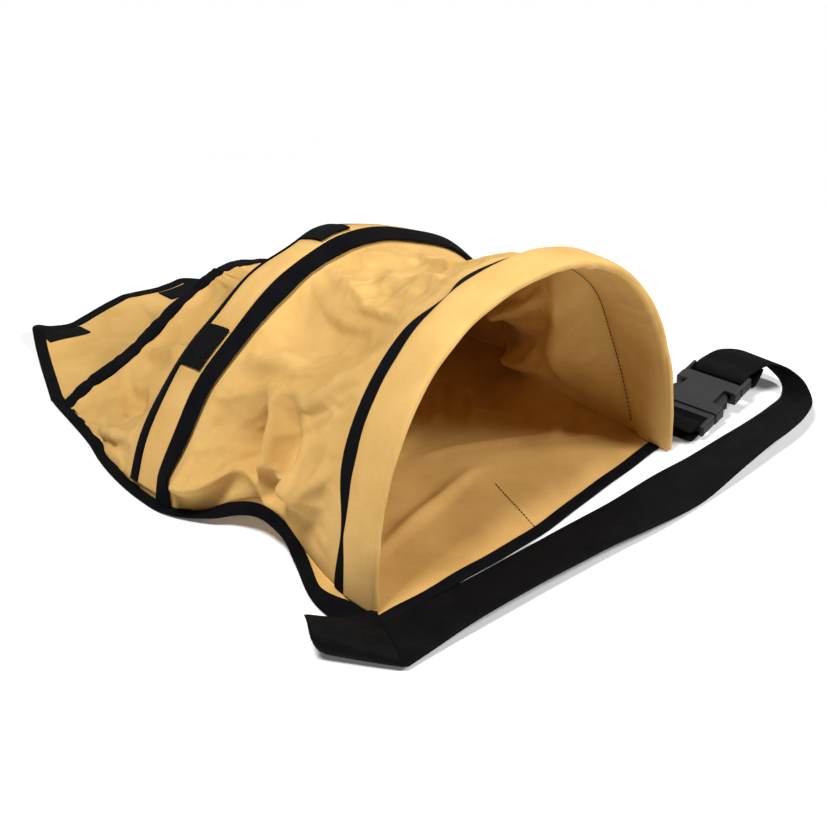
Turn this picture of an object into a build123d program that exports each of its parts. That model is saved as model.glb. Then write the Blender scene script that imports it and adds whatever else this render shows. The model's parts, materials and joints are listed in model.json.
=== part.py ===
from build123d import *
import math
import os

os.makedirs("parts", exist_ok=True)

# A canvas picking bag worn at the waist, lying on its back panel with the mouth held open by a hoop.
# X runs along the mouth edge towards the buckle, Y from the mouth to the bottom flap, Z up.
# The origin is on the underside of the back panel, in the middle of its width. Lengths are in millimetres.

# Distances down the bag, from the mouth line
ORIGIN_AT = 25.0
WAIST_AT = 110.0
CROSS_SEAM_AT = 206.0
SAG_AT = 300.0
HEM_AT = 400.0
FLAP_END_AT = 534.0

# Cloth widths, without the bindings, and how far the bag's end lies to the left of its middle
MOUTH_WIDTH = 344.0
WAIST_WIDTH = 310.0
CROSS_SEAM_WIDTH = 388.0
SAG_WIDTH = 352.0
HEM_WIDTH = 296.0
FLAP_END_WIDTH = 164.0
FLAP_DRIFT = 22.0

# How far the back panel's mouth edge reaches out past the mouth line, at its left end, middle and right end
LIP_LEFT = 27.0
LIP_MIDDLE = 26.0
LIP_RIGHT = 4.0

# Heights of the arched front above the floor, how square its arch is (2 is an ellipse), and how far its
# crown leans to the right. The cloth is drawn in at a waist behind the hoop, and sags past the cross seam.
HOOP_HEIGHT = 220.0
WAIST_HEIGHT = 184.0
CROSS_SEAM_HEIGHT = 168.0
SAG_HEIGHT = 104.0
HEM_HEIGHT = 70.0
HOOP_FULLNESS = 2.4
WAIST_FULLNESS = 2.4
CROSS_SEAM_FULLNESS = 1.75
SAG_FULLNESS = 1.25
HEM_FULLNESS = 1.25
SAG_LEAN = 8.0
HEM_LEAN = 20.0
ARCH_STEPS = 24

# Cloth, tapes and stitching
CLOTH = 1.2
GAP = 0.3
TAPE = 0.8
BINDING_WIDTH = 11.0
BINDING_THICKNESS = 2.0
CROSS_TAPE_WIDTH = 15.0
SEAM_TAPE_WIDTH = 13.0
SEAM_TAPE_LAP = 4.0
BAND_WIDTH = 30.0
BAND_BINDING_WIDTH = 7.0
HEM_BINDING_WIDTH = 8.0
THREAD = 0.8

# Mouth hoop: a canvas sleeve over a springy strip
HOOP_BAND = 30.0
HOOP_OVERHANG = 8.0
CORE_WIDTH = 22.0
CORE_THICKNESS = 3.0
CORE_FOOT_RISE = 7.0
HOOP_STITCH_DEPTH = 52.0

# Hook and loop patches
PATCH_LENGTH = 42.0
PATCH_WIDTH = 20.0
PATCH_THICKNESS = 1.4
PATCH_INSET = 18.0
FLAP_PATCH_SPACING = 138.0
BAND_PATCH_ANGLE = 15.0
LEFT_BAND_PATCH_ANGLE = 120.0
RIGHT_BAND_PATCH_ANGLE = 82.5

# Bottom flap's fold line, past the hem, and the room left at it
FOLD_PAST_HEM = 13.0
FOLD_ROOM = 0.2
FOLD_BINDING_ROOM = 1.5

# Dart on the back panel, at the middle of the mouth
DART_AT = -4.0
DART_LENGTH = 66.0
DART_LEAN = 22.0

# Waist belt
WEBBING_WIDTH = 50.0
WEBBING_THICKNESS = 1.6
BELT_TURN_STEPS = 8
BELT_RUN_STEPS = 2
BELT_SMOOTHING_STEPS = 3

# Side-release buckle: place of its plug's end past the mouth's right corner, lie, and sizes along its axis
BUCKLE_PAST_CORNER = 17.5
BUCKLE_DOWN_BAG = 6.5
BUCKLE_Z = 9.6
BUCKLE_TURN = 8.0
BUCKLE_RISE = 8.0
CHEEK = 3.3
PLUG_THICKNESS = 10.0
SOCKET_THICKNESS = 12.0
BAR_RADIUS = 3.0
BAR_INSET = 3.0
SLOT_LENGTH = 8.0
PLUG_BASE = 20.0
SOCKET_MOUTH_GAP = 1.0
SOCKET_BODY = 43.0
SOCKET_FRAME = 18.0
SOCKET_ROOF = 2.8
SOCKET_SIDE = 5.0
WINDOW_START = 13.0
WINDOW_LENGTH = 20.0
WINDOW_DEPTH = 11.0
TONGUE_WIDTH = 12.0
TONGUE_LENGTH = 34.0
ARM_WIDTH = 5.0
ARM_LENGTH = 34.0
ARM_INSET = 10.5
BARB_START = 14.5
BARB_LENGTH = 17.0
BARB_REACH = 8.5
ARM_CLEARANCE = 0.4
FRAME_CLEARANCE = 0.7
EDGE_ROUND = 1.6
TAB_TAIL = 11.0

# Worked out from the sizes above
SLEEVE_END = HOOP_BAND - HOOP_OVERHANG
SLEEVE_THICKNESS = CORE_THICKNESS + 2.0 * (CLOTH + GAP)
HOOP_MIDDLE = SLEEVE_END - HOOP_BAND / 2.0
FOOT_Z = BINDING_THICKNESS + GAP
HOOP_AXIS_Z = FOOT_Z + HOOP_BAND / 2.0
FOLD_AT = HEM_AT + FOLD_PAST_HEM
LAYER_FOOT_Z = BINDING_THICKNESS + GAP
BAND_START = CROSS_SEAM_AT + CROSS_TAPE_WIDTH / 2.0 + GAP
BAND_END = BAND_START + BAND_WIDTH


def y_at(down):
    """Y of a place that lies so far down the bag from its mouth line."""
    return down - ORIGIN_AT


def between(low, high, share):
    """A value between two others."""
    return low + (high - low) * share


def drift(down):
    """How far the bag's middle lies to the right of X = 0 there."""
    share = (down - CROSS_SEAM_AT) / (FLAP_END_AT - CROSS_SEAM_AT)
    return -FLAP_DRIFT * max(0.0, share)


# Each row: distance down the bag, half width, height, fullness, lean
STATIONS = [
    (-HOOP_OVERHANG, MOUTH_WIDTH / 2.0, HOOP_HEIGHT, HOOP_FULLNESS, 0.0),
    (SLEEVE_END, MOUTH_WIDTH / 2.0, HOOP_HEIGHT, HOOP_FULLNESS, 0.0),
    (WAIST_AT, WAIST_WIDTH / 2.0, WAIST_HEIGHT, WAIST_FULLNESS, 0.0),
    (CROSS_SEAM_AT, CROSS_SEAM_WIDTH / 2.0, CROSS_SEAM_HEIGHT, CROSS_SEAM_FULLNESS, 0.0),
    (SAG_AT, SAG_WIDTH / 2.0, SAG_HEIGHT, SAG_FULLNESS, SAG_LEAN),
    (HEM_AT, HEM_WIDTH / 2.0, HEM_HEIGHT, HEM_FULLNESS, HEM_LEAN),
    (FLAP_END_AT, FLAP_END_WIDTH / 2.0, HEM_HEIGHT, HEM_FULLNESS, HEM_LEAN),
]
SIDE_BENDS = [SLEEVE_END, WAIST_AT, CROSS_SEAM_AT, SAG_AT, HEM_AT]


def bracket(down):
    """The two stations on either side of a place, and its share of the way between them."""
    for first, second in zip(STATIONS, STATIONS[1:]):
        if down <= second[0]:
            break
    return first, second, (down - first[0]) / (second[0] - first[0])


def half_width(down):
    """Half the cloth's width there."""
    first, second, share = bracket(down)
    return between(first[1], second[1], share)


def edge(down, side, out=0.0):
    """X of the cloth's side edge (side is -1 for left, 1 for right), moved out by a distance."""
    return drift(down) + side * (half_width(down) + out)


def arch_point(station, step, out, foot):
    """X, from the bag's middle, and Z of one point of a station's arch, moved out by a distance."""
    angle = math.pi * step / ARCH_STEPS
    power = 2.0 / station[3]
    across = math.copysign(abs(math.cos(angle)) ** power, math.cos(angle))
    if 2 * step == ARCH_STEPS:
        across = 0.0
    up = abs(math.sin(angle)) ** power if 0 < step < ARCH_STEPS else 0.0
    return (station[1] + out) * across + station[4] * up, foot + (station[2] + out - foot) * up


def arch_line(down, out, foot, steps):
    """Points of the front's arch at a place down the bag, from its right foot to its left."""
    first, second, share = bracket(down)
    points = []
    for step in steps:
        x0, z0 = arch_point(first, step, out, foot)
        x1, z1 = arch_point(second, step, out, foot)
        points.append((drift(down) + between(x0, x1, share), y_at(down), between(z0, z1, share)))
    return points


def arch_shell(places, outer, inner, foot, first=0, last=ARCH_STEPS):
    """A layer that follows the arched front through some places down the bag."""
    steps = range(first, last + 1)
    wires = []
    for down in places:
        loop = arch_line(down, outer, foot, steps) + arch_line(down, inner, foot, steps)[::-1]
        wires.append(Wire.make_polygon(loop, close=True))
    return Solid.make_loft(wires, True)


def flat_sheet(points, thickness, z=0.0):
    """A flat sheet with the outline given by X and distance down the bag."""
    outline = Wire.make_polygon([(x, y_at(down), z) for x, down in points], close=True)
    return extrude(Face(outline), thickness, dir=(0, 0, 1))


def side_line(places, side, out=0.0):
    """Outline points along one side edge."""
    return [(edge(down, side, out), down) for down in places]


def polygon(*points):
    """A flat face through its corners."""
    return Face(Wire.make_polygon(points, close=True))


def ribbon(rulings, thickness):
    """A strap through its rulings: far edge, near edge and the way its face looks."""
    rings = []
    for far, near, normal in rulings:
        half = Vector(normal).normalized() * (thickness / 2.0)
        rings.append([far + half, near + half, near - half, far - half])
    faces = [polygon(*rings[0]), polygon(*rings[-1])]
    for ring, following in zip(rings, rings[1:]):
        for corner in range(4):
            after = (corner + 1) % 4
            faces.append(polygon(ring[corner], ring[after], following[after]))
            faces.append(polygon(ring[corner], following[after], following[corner]))
    return Solid(Shell(faces))


# Back panel, flap and their bindings
def lip_line(back):
    """Outline points along the mouth edge, from left to right, set back from it by a distance."""
    half = MOUTH_WIDTH / 2.0
    return [(-half, back - LIP_LEFT), (0.0, back - LIP_MIDDLE), (half, back - LIP_RIGHT)]


def make_back_panel():
    """Flat canvas panel from the mouth binding to the fold line."""
    places = SIDE_BENDS + [FOLD_AT - FOLD_ROOM]
    sides = side_line(places, 1) + side_line(places, -1)[::-1]
    return flat_sheet(lip_line(BINDING_WIDTH) + sides, CLOTH)


def make_mouth_binding():
    """Tape folded over the mouth edge."""
    return flat_sheet(lip_line(0.0) + lip_line(BINDING_WIDTH)[::-1], BINDING_THICKNESS)


def make_side_binding(side, lip):
    """Tape along one side seam, from the mouth edge on."""
    places = [-lip] + SIDE_BENDS + [FOLD_AT - FOLD_BINDING_ROOM]
    inner = side_line(places, side)
    outer = side_line(places, side, BINDING_WIDTH)
    return flat_sheet(inner + outer[::-1], BINDING_THICKNESS)


def make_flap():
    """Canvas flap from the fold line to its end binding."""
    places = [FOLD_AT + FOLD_ROOM, FLAP_END_AT - BINDING_WIDTH]
    return flat_sheet(side_line(places, -1) + side_line(places, 1)[::-1], CLOTH)


def make_flap_binding():
    """Tape round the flap's two sides and its end."""
    start = FOLD_AT + FOLD_BINDING_ROOM
    outer = side_line([start, FLAP_END_AT], -1, BINDING_WIDTH)
    outer += side_line([FLAP_END_AT, start], 1, BINDING_WIDTH)
    cloth_end = FLAP_END_AT - BINDING_WIDTH
    inner = side_line([start, cloth_end], 1) + side_line([cloth_end, start], -1)
    return flat_sheet(outer + inner, BINDING_THICKNESS)


def make_flap_patch(side):
    """Hook patch near one end of the flap's free edge."""
    end = FLAP_END_AT - PATCH_INSET
    middle = drift(end) + side * FLAP_PATCH_SPACING / 2.0
    low = middle - PATCH_LENGTH / 2.0
    high = middle + PATCH_LENGTH / 2.0
    start = end - PATCH_WIDTH
    return flat_sheet([(low, start), (high, start), (high, end), (low, end)], PATCH_THICKNESS, CLOTH)


def make_dart_stitching():
    """Thread of the dart, from the mouth binding into the back panel."""
    start = BINDING_WIDTH - LIP_MIDDLE + GAP
    end = start + DART_LENGTH
    tip = DART_AT + DART_LEAN
    points = [(DART_AT, start), (DART_AT + THREAD, start), (tip + THREAD, end), (tip, end)]
    return flat_sheet(points, THREAD, CLOTH)


# Arched front
def make_front_panel():
    """Canvas from the hoop to the cross seam."""
    return arch_shell([SLEEVE_END + GAP, WAIST_AT, CROSS_SEAM_AT], 0.0, -CLOTH, CLOTH)


def make_chute_panel():
    """Canvas from the cross seam to the open hem."""
    return arch_shell([CROSS_SEAM_AT, SAG_AT, HEM_AT], 0.0, -CLOTH, CLOTH)


def make_hem_binding():
    """Tape folded over the open hem."""
    return arch_shell([HEM_AT, HEM_AT + HEM_BINDING_WIDTH], TAPE, -CLOTH - TAPE, LAYER_FOOT_Z)


def make_cross_tape():
    """Broad tape over the cross seam."""
    half = CROSS_TAPE_WIDTH / 2.0
    places = [CROSS_SEAM_AT - half, CROSS_SEAM_AT, CROSS_SEAM_AT + half]
    return arch_shell(places, GAP + TAPE, GAP, LAYER_FOOT_Z)


def make_seam_tape():
    """Tape over the seam between the hoop's sleeve and the front panel."""
    start = SLEEVE_END - SEAM_TAPE_LAP
    return arch_shell([start, SLEEVE_END, start + SEAM_TAPE_WIDTH], GAP + TAPE, GAP, LAYER_FOOT_Z)


def make_closure_band():
    """Canvas strip over the head of the chute panel."""
    return arch_shell([BAND_START, BAND_END], GAP + CLOTH, GAP, LAYER_FOOT_Z)


def make_band_binding():
    """Tape folded over the band's free edge."""
    return arch_shell([BAND_END, BAND_END + BAND_BINDING_WIDTH], GAP + BINDING_THICKNESS, GAP, LAYER_FOOT_Z)


def make_band_patch(angle):
    """Loop patch on the band, from an angle round its arch."""
    margin = (BAND_WIDTH - PATCH_WIDTH) / 2.0
    under = GAP + CLOTH + GAP
    places = [BAND_START + margin, BAND_END - margin]
    first_step = round(ARCH_STEPS * angle / 180.0)
    last_step = round(ARCH_STEPS * (angle + BAND_PATCH_ANGLE) / 180.0)
    return arch_shell(places, under + PATCH_THICKNESS, under, LAYER_FOOT_Z, first_step, last_step)


# Mouth hoop
def hoop_foot_room():
    """Space that the hoop may fill: all above its axis, and rounded feet below it."""
    span = 2.0 * MOUTH_WIDTH
    tall = 2.0 * HOOP_HEIGHT
    upper = Pos(0, y_at(HOOP_MIDDLE), HOOP_AXIS_Z + tall / 2.0) * Box(span, HOOP_BAND, tall)
    feet = Pos(0, y_at(HOOP_MIDDLE), HOOP_AXIS_Z) * Rot(0, 90, 0) * Cylinder(HOOP_BAND / 2.0, span)
    return upper + feet


def hoop_strip(room):
    """The springy strip with some room round it."""
    half = CORE_WIDTH / 2.0 + room
    outer = room - CLOTH - GAP
    inner = -SLEEVE_THICKNESS - outer
    arch = arch_shell([HOOP_MIDDLE - half, HOOP_MIDDLE + half], outer, inner, FOOT_Z)
    foot = HOOP_AXIS_Z - CORE_FOOT_RISE - room
    above = Box(2.0 * MOUTH_WIDTH, HOOP_BAND, 2.0 * HOOP_HEIGHT)
    return arch & Pos(0, y_at(HOOP_MIDDLE), foot + HOOP_HEIGHT) * above


def make_hoop_sleeve():
    """Canvas tunnel round the mouth, hollow for the strip."""
    outside = arch_shell([-HOOP_OVERHANG, SLEEVE_END], 0.0, -SLEEVE_THICKNESS, FOOT_Z)
    return (outside & hoop_foot_room()) - hoop_strip(GAP)


def make_hoop_core():
    """Springy flat strip inside the sleeve."""
    return hoop_strip(0.0)


def make_hoop_stitching():
    """Seam thread on the inside of the front panel, where the sleeve's inner ply ends."""
    start = HOOP_STITCH_DEPTH - HOOP_OVERHANG
    outer = -CLOTH - GAP / 2.0
    places = [start, start + THREAD]
    return arch_shell(places, outer, outer - THREAD, CLOTH, 1, ARCH_STEPS - 1)


# Side-release buckle, along its own X axis from the plug's end, with its face up
RIGHT_CORNER = MOUTH_WIDTH / 2.0
LEFT_CORNER = -MOUTH_WIDTH / 2.0
BUCKLE_CORNER = Pos(RIGHT_CORNER + BUCKLE_PAST_CORNER, y_at(BUCKLE_DOWN_BAG), BUCKLE_Z)
BUCKLE_PLACE = BUCKLE_CORNER * Rot(0, 0, BUCKLE_TURN) * Rot(0, -BUCKLE_RISE, 0)
SOCKET_START = PLUG_BASE + SOCKET_MOUTH_GAP
SOCKET_BODY_END = SOCKET_START + SOCKET_BODY
SOCKET_END = SOCKET_BODY_END + SOCKET_FRAME
SOCKET_BAR_AT = SOCKET_END - BAR_INSET
SLOT_WIDTH = WEBBING_WIDTH + 2.0 * FRAME_CLEARANCE
BUCKLE_WIDTH = SLOT_WIDTH + 2.0 * CHEEK
ARM_OFFSET = BUCKLE_WIDTH / 2.0 - ARM_INSET
ARM_THICKNESS = SOCKET_THICKNESS - 2.0 * (SOCKET_ROOF + ARM_CLEARANCE)


def block(x0, x1, width, thickness, y=0.0):
    """A box between two places along the buckle."""
    return Pos((x0 + x1) / 2.0, y, 0) * Box(x1 - x0, width, thickness)


def rounded(shape, radius):
    """The shape with its long outer edges rounded."""
    return fillet(shape.edges().filter_by(Axis.X) + shape.edges().filter_by(Axis.Z), radius)


def bar(x):
    """Round bar that the webbing turns on."""
    return Pos(x, 0, 0) * Rot(90, 0, 0) * Cylinder(BAR_RADIUS, SLOT_WIDTH)


def make_plug():
    """Plug: a webbing frame, its shoulder and the middle tongue."""
    frame = rounded(block(0.0, PLUG_BASE, BUCKLE_WIDTH, PLUG_THICKNESS), EDGE_ROUND)
    shoulder_start = BAR_INSET + BAR_RADIUS + SLOT_LENGTH
    frame -= block(-EDGE_ROUND, shoulder_start, SLOT_WIDTH, 2.0 * PLUG_THICKNESS)
    frame += bar(BAR_INSET)
    tongue = block(PLUG_BASE, PLUG_BASE + TONGUE_LENGTH, TONGUE_WIDTH, ARM_THICKNESS)
    return frame + fillet(tongue.edges().filter_by(Axis.Z).group_by(Axis.X)[-1], TONGUE_WIDTH / 3.0)


def make_latch_arm(side):
    """Spring arm with its barb, on the left (1) or the right (-1) of the tongue."""
    root = ARM_WIDTH / 2.0
    start = PLUG_BASE + GAP + root
    inner = ARM_OFFSET - root
    outer = ARM_OFFSET + root
    barb = PLUG_BASE + BARB_START
    tip = PLUG_BASE + ARM_LENGTH
    points = [
        (start, inner), (tip, inner), (tip, outer - EDGE_ROUND),
        (barb + BARB_LENGTH, outer + EDGE_ROUND),
        (barb + BARB_LENGTH / 2.0, outer + BARB_REACH - ARM_WIDTH / 2.0),
        (barb, outer + BARB_REACH - ARM_WIDTH), (barb, outer), (start, outer),
    ]
    base = -ARM_THICKNESS / 2.0
    outline = Wire.make_polygon([(x, side * y, base) for x, y in points], close=True)
    arm = extrude(Face(outline), ARM_THICKNESS, dir=(0, 0, 1))
    return arm + Pos(start, side * ARM_OFFSET, 0) * Cylinder(root, ARM_THICKNESS)


def make_socket():
    """Socket: a hollow body with side windows, and the frame that the belt is sewn to."""
    body = rounded(block(SOCKET_START, SOCKET_BODY_END, BUCKLE_WIDTH, SOCKET_THICKNESS), EDGE_ROUND)
    cavity_width = BUCKLE_WIDTH - 2.0 * SOCKET_SIDE
    cavity_end = SOCKET_BODY_END - SOCKET_SIDE
    body -= block(SOCKET_START - EDGE_ROUND, cavity_end, cavity_width, SOCKET_THICKNESS - 2.0 * SOCKET_ROOF)
    window = SOCKET_START + WINDOW_START
    for side in (-1, 1):
        middle = side * BUCKLE_WIDTH / 2.0
        body -= block(window, window + WINDOW_LENGTH, 2.0 * WINDOW_DEPTH, 2.0 * SOCKET_THICKNESS, middle)
    frame = rounded(block(SOCKET_BODY_END, SOCKET_END, BUCKLE_WIDTH, PLUG_THICKNESS), EDGE_ROUND)
    slot_start = SOCKET_BAR_AT - BAR_RADIUS - SLOT_LENGTH
    frame -= block(slot_start, SOCKET_END + EDGE_ROUND, SLOT_WIDTH, 2.0 * PLUG_THICKNESS)
    return body + frame + bar(SOCKET_BAR_AT)


def make_buckle_tab():
    """Webbing turned round the plug's bar, with both ends at the bag's corner."""
    inner = BAR_RADIUS + GAP
    outer = inner + WEBBING_THICKNESS
    turn = Pos(BAR_INSET, 0, 0) * Rot(90, 0, 0) * Cylinder(outer, WEBBING_WIDTH)
    loop = turn + block(-TAB_TAIL, BAR_INSET, WEBBING_WIDTH, 2.0 * outer)
    hollow = Pos(BAR_INSET, 0, 0) * Rot(90, 0, 0) * Cylinder(inner, 2.0 * WEBBING_WIDTH)
    return loop - hollow - block(-2.0 * TAB_TAIL, BAR_INSET, 2.0 * WEBBING_WIDTH, 2.0 * inner)


# Waist belt
def on_buckle(x, z, normal_x, normal_z):
    """A ruling of the belt across the buckle, at a place on its axis."""
    half = WEBBING_WIDTH / 2.0
    far = (BUCKLE_PLACE * Pos(x, half, z)).position
    near = (BUCKLE_PLACE * Pos(x, -half, z)).position
    tip = (BUCKLE_PLACE * Pos(x + normal_x, half, z + normal_z)).position
    return far, near, tip - far


def belt_end_rulings():
    """The belt's sewn end, under the buckle's bar, round it and away over the top."""
    turn = BAR_RADIUS + 2.0 * GAP + WEBBING_THICKNESS / 2.0
    rulings = [on_buckle(SOCKET_BAR_AT + x, z, nx, nz) for x, z, nx, nz in BELT_TAIL]
    for step in range(BELT_TURN_STEPS + 1):
        angle = math.radians(-90.0 - 180.0 * step / BELT_TURN_STEPS)
        out = (math.cos(angle), math.sin(angle))
        rulings.append(on_buckle(SOCKET_BAR_AT + turn * out[0], turn * out[1], out[0], out[1]))
    return rulings


# The sewn end under the bar: along the axis past the bar, height, and the way its face looks
BELT_TAIL = [
    (32.0, -3.5, 0.4, -1.0), (26.0, -8.5, 0.6, -1.0), (17.0, -12.6, 0.1, -1.0), (8.0, -9.6, -0.5, -1.0),
]

# The rest of the belt by hand-chosen rulings: the middle (X past the mouth's right or left corner, distance
# down the bag, Z), the way across it towards its far edge, as a share of the webbing's width, and the way
# its face looks
BELT_LOOP = [
    ((110.0, 18.5, 26.5), (-0.14, 0.99, 0.0), (-0.1, 0.0, 1.0)),
    ((126.0, 15.5, 28.0), (-0.14, 0.99, 0.0), (0.1, 0.0, 1.0)),
    ((140.0, 5.0, 25.0), (-0.05, 0.99, 0.0), (0.6, 0.0, 0.8)),
    ((147.0, -10.0, 17.0), (0.16, 0.97, -0.12), (1.0, -0.15, 0.15)),
    ((143.0, -27.0, 11.0), (0.38, 0.88, -0.28), (0.75, -0.5, -0.5)),
    ((128.0, -41.0, 9.0), (0.36, 0.87, -0.32), (0.25, -0.4, -0.9)),
    ((102.0, -49.0, 9.0), (0.28, 0.92, -0.28), (0.05, -0.3, -0.95)),
    ((70.0, -52.5, 8.5), (0.1, 0.96, -0.27), (0.0, -0.27, -0.96)),
    ((40.0, -54.0, 8.5), (-0.12, 0.96, -0.24), (0.0, -0.24, -0.97)),
    ((-6.0, -57.0, 7.0), (-0.1, 0.985, -0.14), (0.0, -0.14, -0.99)),
    ((-54.0, -59.0, 5.0), (-0.06, 0.995, 0.06), (0.0, 0.06, -1.0)),
    ((-112.0, -60.5, 6.0), (-0.02, 0.98, 0.16), (0.0, 0.16, -0.99)),
    ((-160.0, -59.5, 4.5), (0.0, 0.99, 0.1), (0.0, 0.1, -1.0)),
]
BELT_CORNER = [
    ((120.0, -54.0, 2.2), (0.0, 1.0, -0.02), (0.0, 0.0, -1.0)),
    ((80.0, -54.0, 1.8), (-0.1, 1.0, 0.0), (0.0, 0.0, -1.0)),
    ((44.0, -54.0, 1.5), (-0.35, 0.99, 0.0), (0.0, 0.0, -1.0)),
    ((8.0, -53.5, 1.2), (-0.72, 0.93, 0.0), (0.0, 0.0, -1.0)),
    ((-27.0, -55.0, 1.2), (-1.0, 0.8, 0.0), (-0.2, -0.25, -1.0)),
    ((-35.0, -53.0, 4.5), (-1.02, 0.84, 0.0), (-0.5, -0.6, -0.6)),
    ((-38.5, -46.0, 10.5), (-1.02, 0.88, 0.0), (-0.65, -0.75, 0.15)),
    ((-36.5, -34.0, 15.5), (-1.0, 0.92, 0.0), (-0.5, -0.5, 0.7)),
    ((-30.0, -18.0, 18.0), (-0.98, 0.9, 0.0), (-0.05, -0.05, 1.0)),
    ((-25.0, -4.0, 12.5), (-0.92, 0.72, 0.0), (0.4, 0.5, 0.75)),
    ((-23.0, 8.0, 3.3), (-0.8, 0.55, 0.0), (0.25, 0.35, 1.0)),
]


def placed_ruling(corner, middle, across, normal):
    """A ruling of the belt from a corner of the mouth, its hand-chosen middle and directions."""
    centre = Vector(corner + middle[0], y_at(middle[1]), middle[2])
    reach = Vector(across) * (WEBBING_WIDTH / 2.0)
    return centre + reach, centre - reach, normal


def along(first, second, third, fourth, share):
    """A point on the smooth curve from the second to the third of four."""
    straight = second + (third - second) * share
    lead = (third - first) * 0.5 - (third - second)
    trail = (fourth - second) * 0.5 - (third - second)
    return straight + (lead * (1.0 - share) - trail * share) * (share * (1.0 - share))


def smooth(rulings, steps):
    """The same rulings with more of them between, on smooth curves."""
    rows = [tuple(Vector(part) for part in ruling) for ruling in rulings]
    rows = [rows[0]] + rows + [rows[-1]]
    finer = []
    for four in zip(rows, rows[1:], rows[2:], rows[3:]):
        for step in range(steps):
            finer.append(tuple(along(*parts, step / steps) for parts in zip(*four)))
    return finer + [rows[-1]]


def make_belt():
    """Waist belt from its end at the buckle, round the loop, along the floor and up to the left corner."""
    loop = [placed_ruling(RIGHT_CORNER, *ruling) for ruling in BELT_LOOP]
    corner = [placed_ruling(LEFT_CORNER, *ruling) for ruling in BELT_CORNER]
    first = [Vector(part) for part in loop[-1]]
    last = [Vector(part) for part in corner[0]]
    run = []
    for step in range(1, BELT_RUN_STEPS):
        run.append([between(start, end, step / BELT_RUN_STEPS) for start, end in zip(first, last)])
    return ribbon(smooth(belt_end_rulings() + loop + run + corner, BELT_SMOOTHING_STEPS), WEBBING_THICKNESS)


pieces = {
    "back_panel": make_back_panel(),
    "mouth_binding": make_mouth_binding(),
    "side_binding_left": make_side_binding(-1, LIP_LEFT),
    "side_binding_right": make_side_binding(1, LIP_RIGHT),
    "bottom_flap": make_flap(),
    "flap_binding": make_flap_binding(),
    "flap_patch_left": make_flap_patch(-1),
    "flap_patch_right": make_flap_patch(1),
    "dart_stitching": make_dart_stitching(),
    "front_panel": make_front_panel(),
    "chute_panel": make_chute_panel(),
    "chute_hem_binding": make_hem_binding(),
    "front_cross_tape": make_cross_tape(),
    "hoop_seam_tape": make_seam_tape(),
    "closure_band": make_closure_band(),
    "closure_band_binding": make_band_binding(),
    "band_patch_left": make_band_patch(LEFT_BAND_PATCH_ANGLE),
    "band_patch_right": make_band_patch(RIGHT_BAND_PATCH_ANGLE),
    "hoop_sleeve": make_hoop_sleeve(),
    "hoop_core": make_hoop_core(),
    "hoop_stitching": make_hoop_stitching(),
    "buckle_tab": BUCKLE_PLACE * make_buckle_tab(),
    "buckle_plug": BUCKLE_PLACE * make_plug(),
    "latch_arm_left": BUCKLE_PLACE * make_latch_arm(1),
    "latch_arm_right": BUCKLE_PLACE * make_latch_arm(-1),
    "buckle_socket": BUCKLE_PLACE * make_socket(),
    "belt_webbing": make_belt(),
}

for name, piece in pieces.items():
    export_step(piece, f"parts/{name}.step")
    print(name, round(piece.volume, 1))
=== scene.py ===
"""Dresses a canvas picking bag: arched cloth front, mouth hoop, fold-up flap, black tapes and a webbing belt.

Lengths are in metres. "Down" is the distance from the mouth edge along the bag. "Share" runs along the arched
front from 0 at the left side seam, over the crown, to 1 at the right side seam.
"""
import json
import logging
import math
from dataclasses import dataclass, field
from enum import Enum
from typing import Callable, Sequence

import bmesh
import bpy
import numpy as np
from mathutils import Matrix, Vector

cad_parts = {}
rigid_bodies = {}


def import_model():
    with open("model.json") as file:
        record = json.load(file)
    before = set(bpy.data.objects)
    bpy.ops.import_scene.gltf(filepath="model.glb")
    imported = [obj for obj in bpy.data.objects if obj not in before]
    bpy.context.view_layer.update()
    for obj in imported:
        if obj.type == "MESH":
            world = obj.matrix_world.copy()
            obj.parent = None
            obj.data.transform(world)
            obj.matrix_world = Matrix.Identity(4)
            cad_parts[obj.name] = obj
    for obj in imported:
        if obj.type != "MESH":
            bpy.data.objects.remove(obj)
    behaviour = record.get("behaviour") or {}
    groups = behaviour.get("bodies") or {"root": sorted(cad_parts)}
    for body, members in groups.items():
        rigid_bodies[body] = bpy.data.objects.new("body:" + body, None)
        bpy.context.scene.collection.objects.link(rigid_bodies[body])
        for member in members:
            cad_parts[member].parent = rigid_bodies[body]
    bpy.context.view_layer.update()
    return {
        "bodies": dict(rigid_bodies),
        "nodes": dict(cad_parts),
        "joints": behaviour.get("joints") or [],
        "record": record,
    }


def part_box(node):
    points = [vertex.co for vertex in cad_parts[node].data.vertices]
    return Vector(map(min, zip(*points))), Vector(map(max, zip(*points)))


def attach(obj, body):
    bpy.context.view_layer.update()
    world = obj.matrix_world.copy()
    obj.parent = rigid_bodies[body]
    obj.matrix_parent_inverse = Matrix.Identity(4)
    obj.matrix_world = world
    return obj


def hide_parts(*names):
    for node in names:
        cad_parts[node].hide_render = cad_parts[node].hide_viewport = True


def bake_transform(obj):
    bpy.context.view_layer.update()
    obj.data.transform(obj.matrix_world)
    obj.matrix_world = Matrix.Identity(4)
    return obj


Points = np.ndarray
Pair = tuple[Points, Points]
Placing = Callable[[Points, Points], Pair]
LOG = logging.getLogger("picking_bag")
WEAVE_MAP = "Weave"
MM = 0.001
Colour = tuple[float, float, float]


class Slot(Enum):
    """Material slots of the record."""

    CANVAS = "canvas"
    TAPE = "tape"
    PILE = "hook_and_loop"
    THREAD = "thread"
    WEBBING = "webbing"
    BUCKLE = "buckle"
    STRIP = "hoop_strip"


class Body(Enum):
    """Moving bodies of the bag."""

    BAG = "bag"
    HOOP = "hoop"
    FLAP = "flap"
    SOCKET = "socket"


class Side(Enum):
    """Left and right of the bag, by the sign of X."""

    LEFT = -1
    RIGHT = 1


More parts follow.
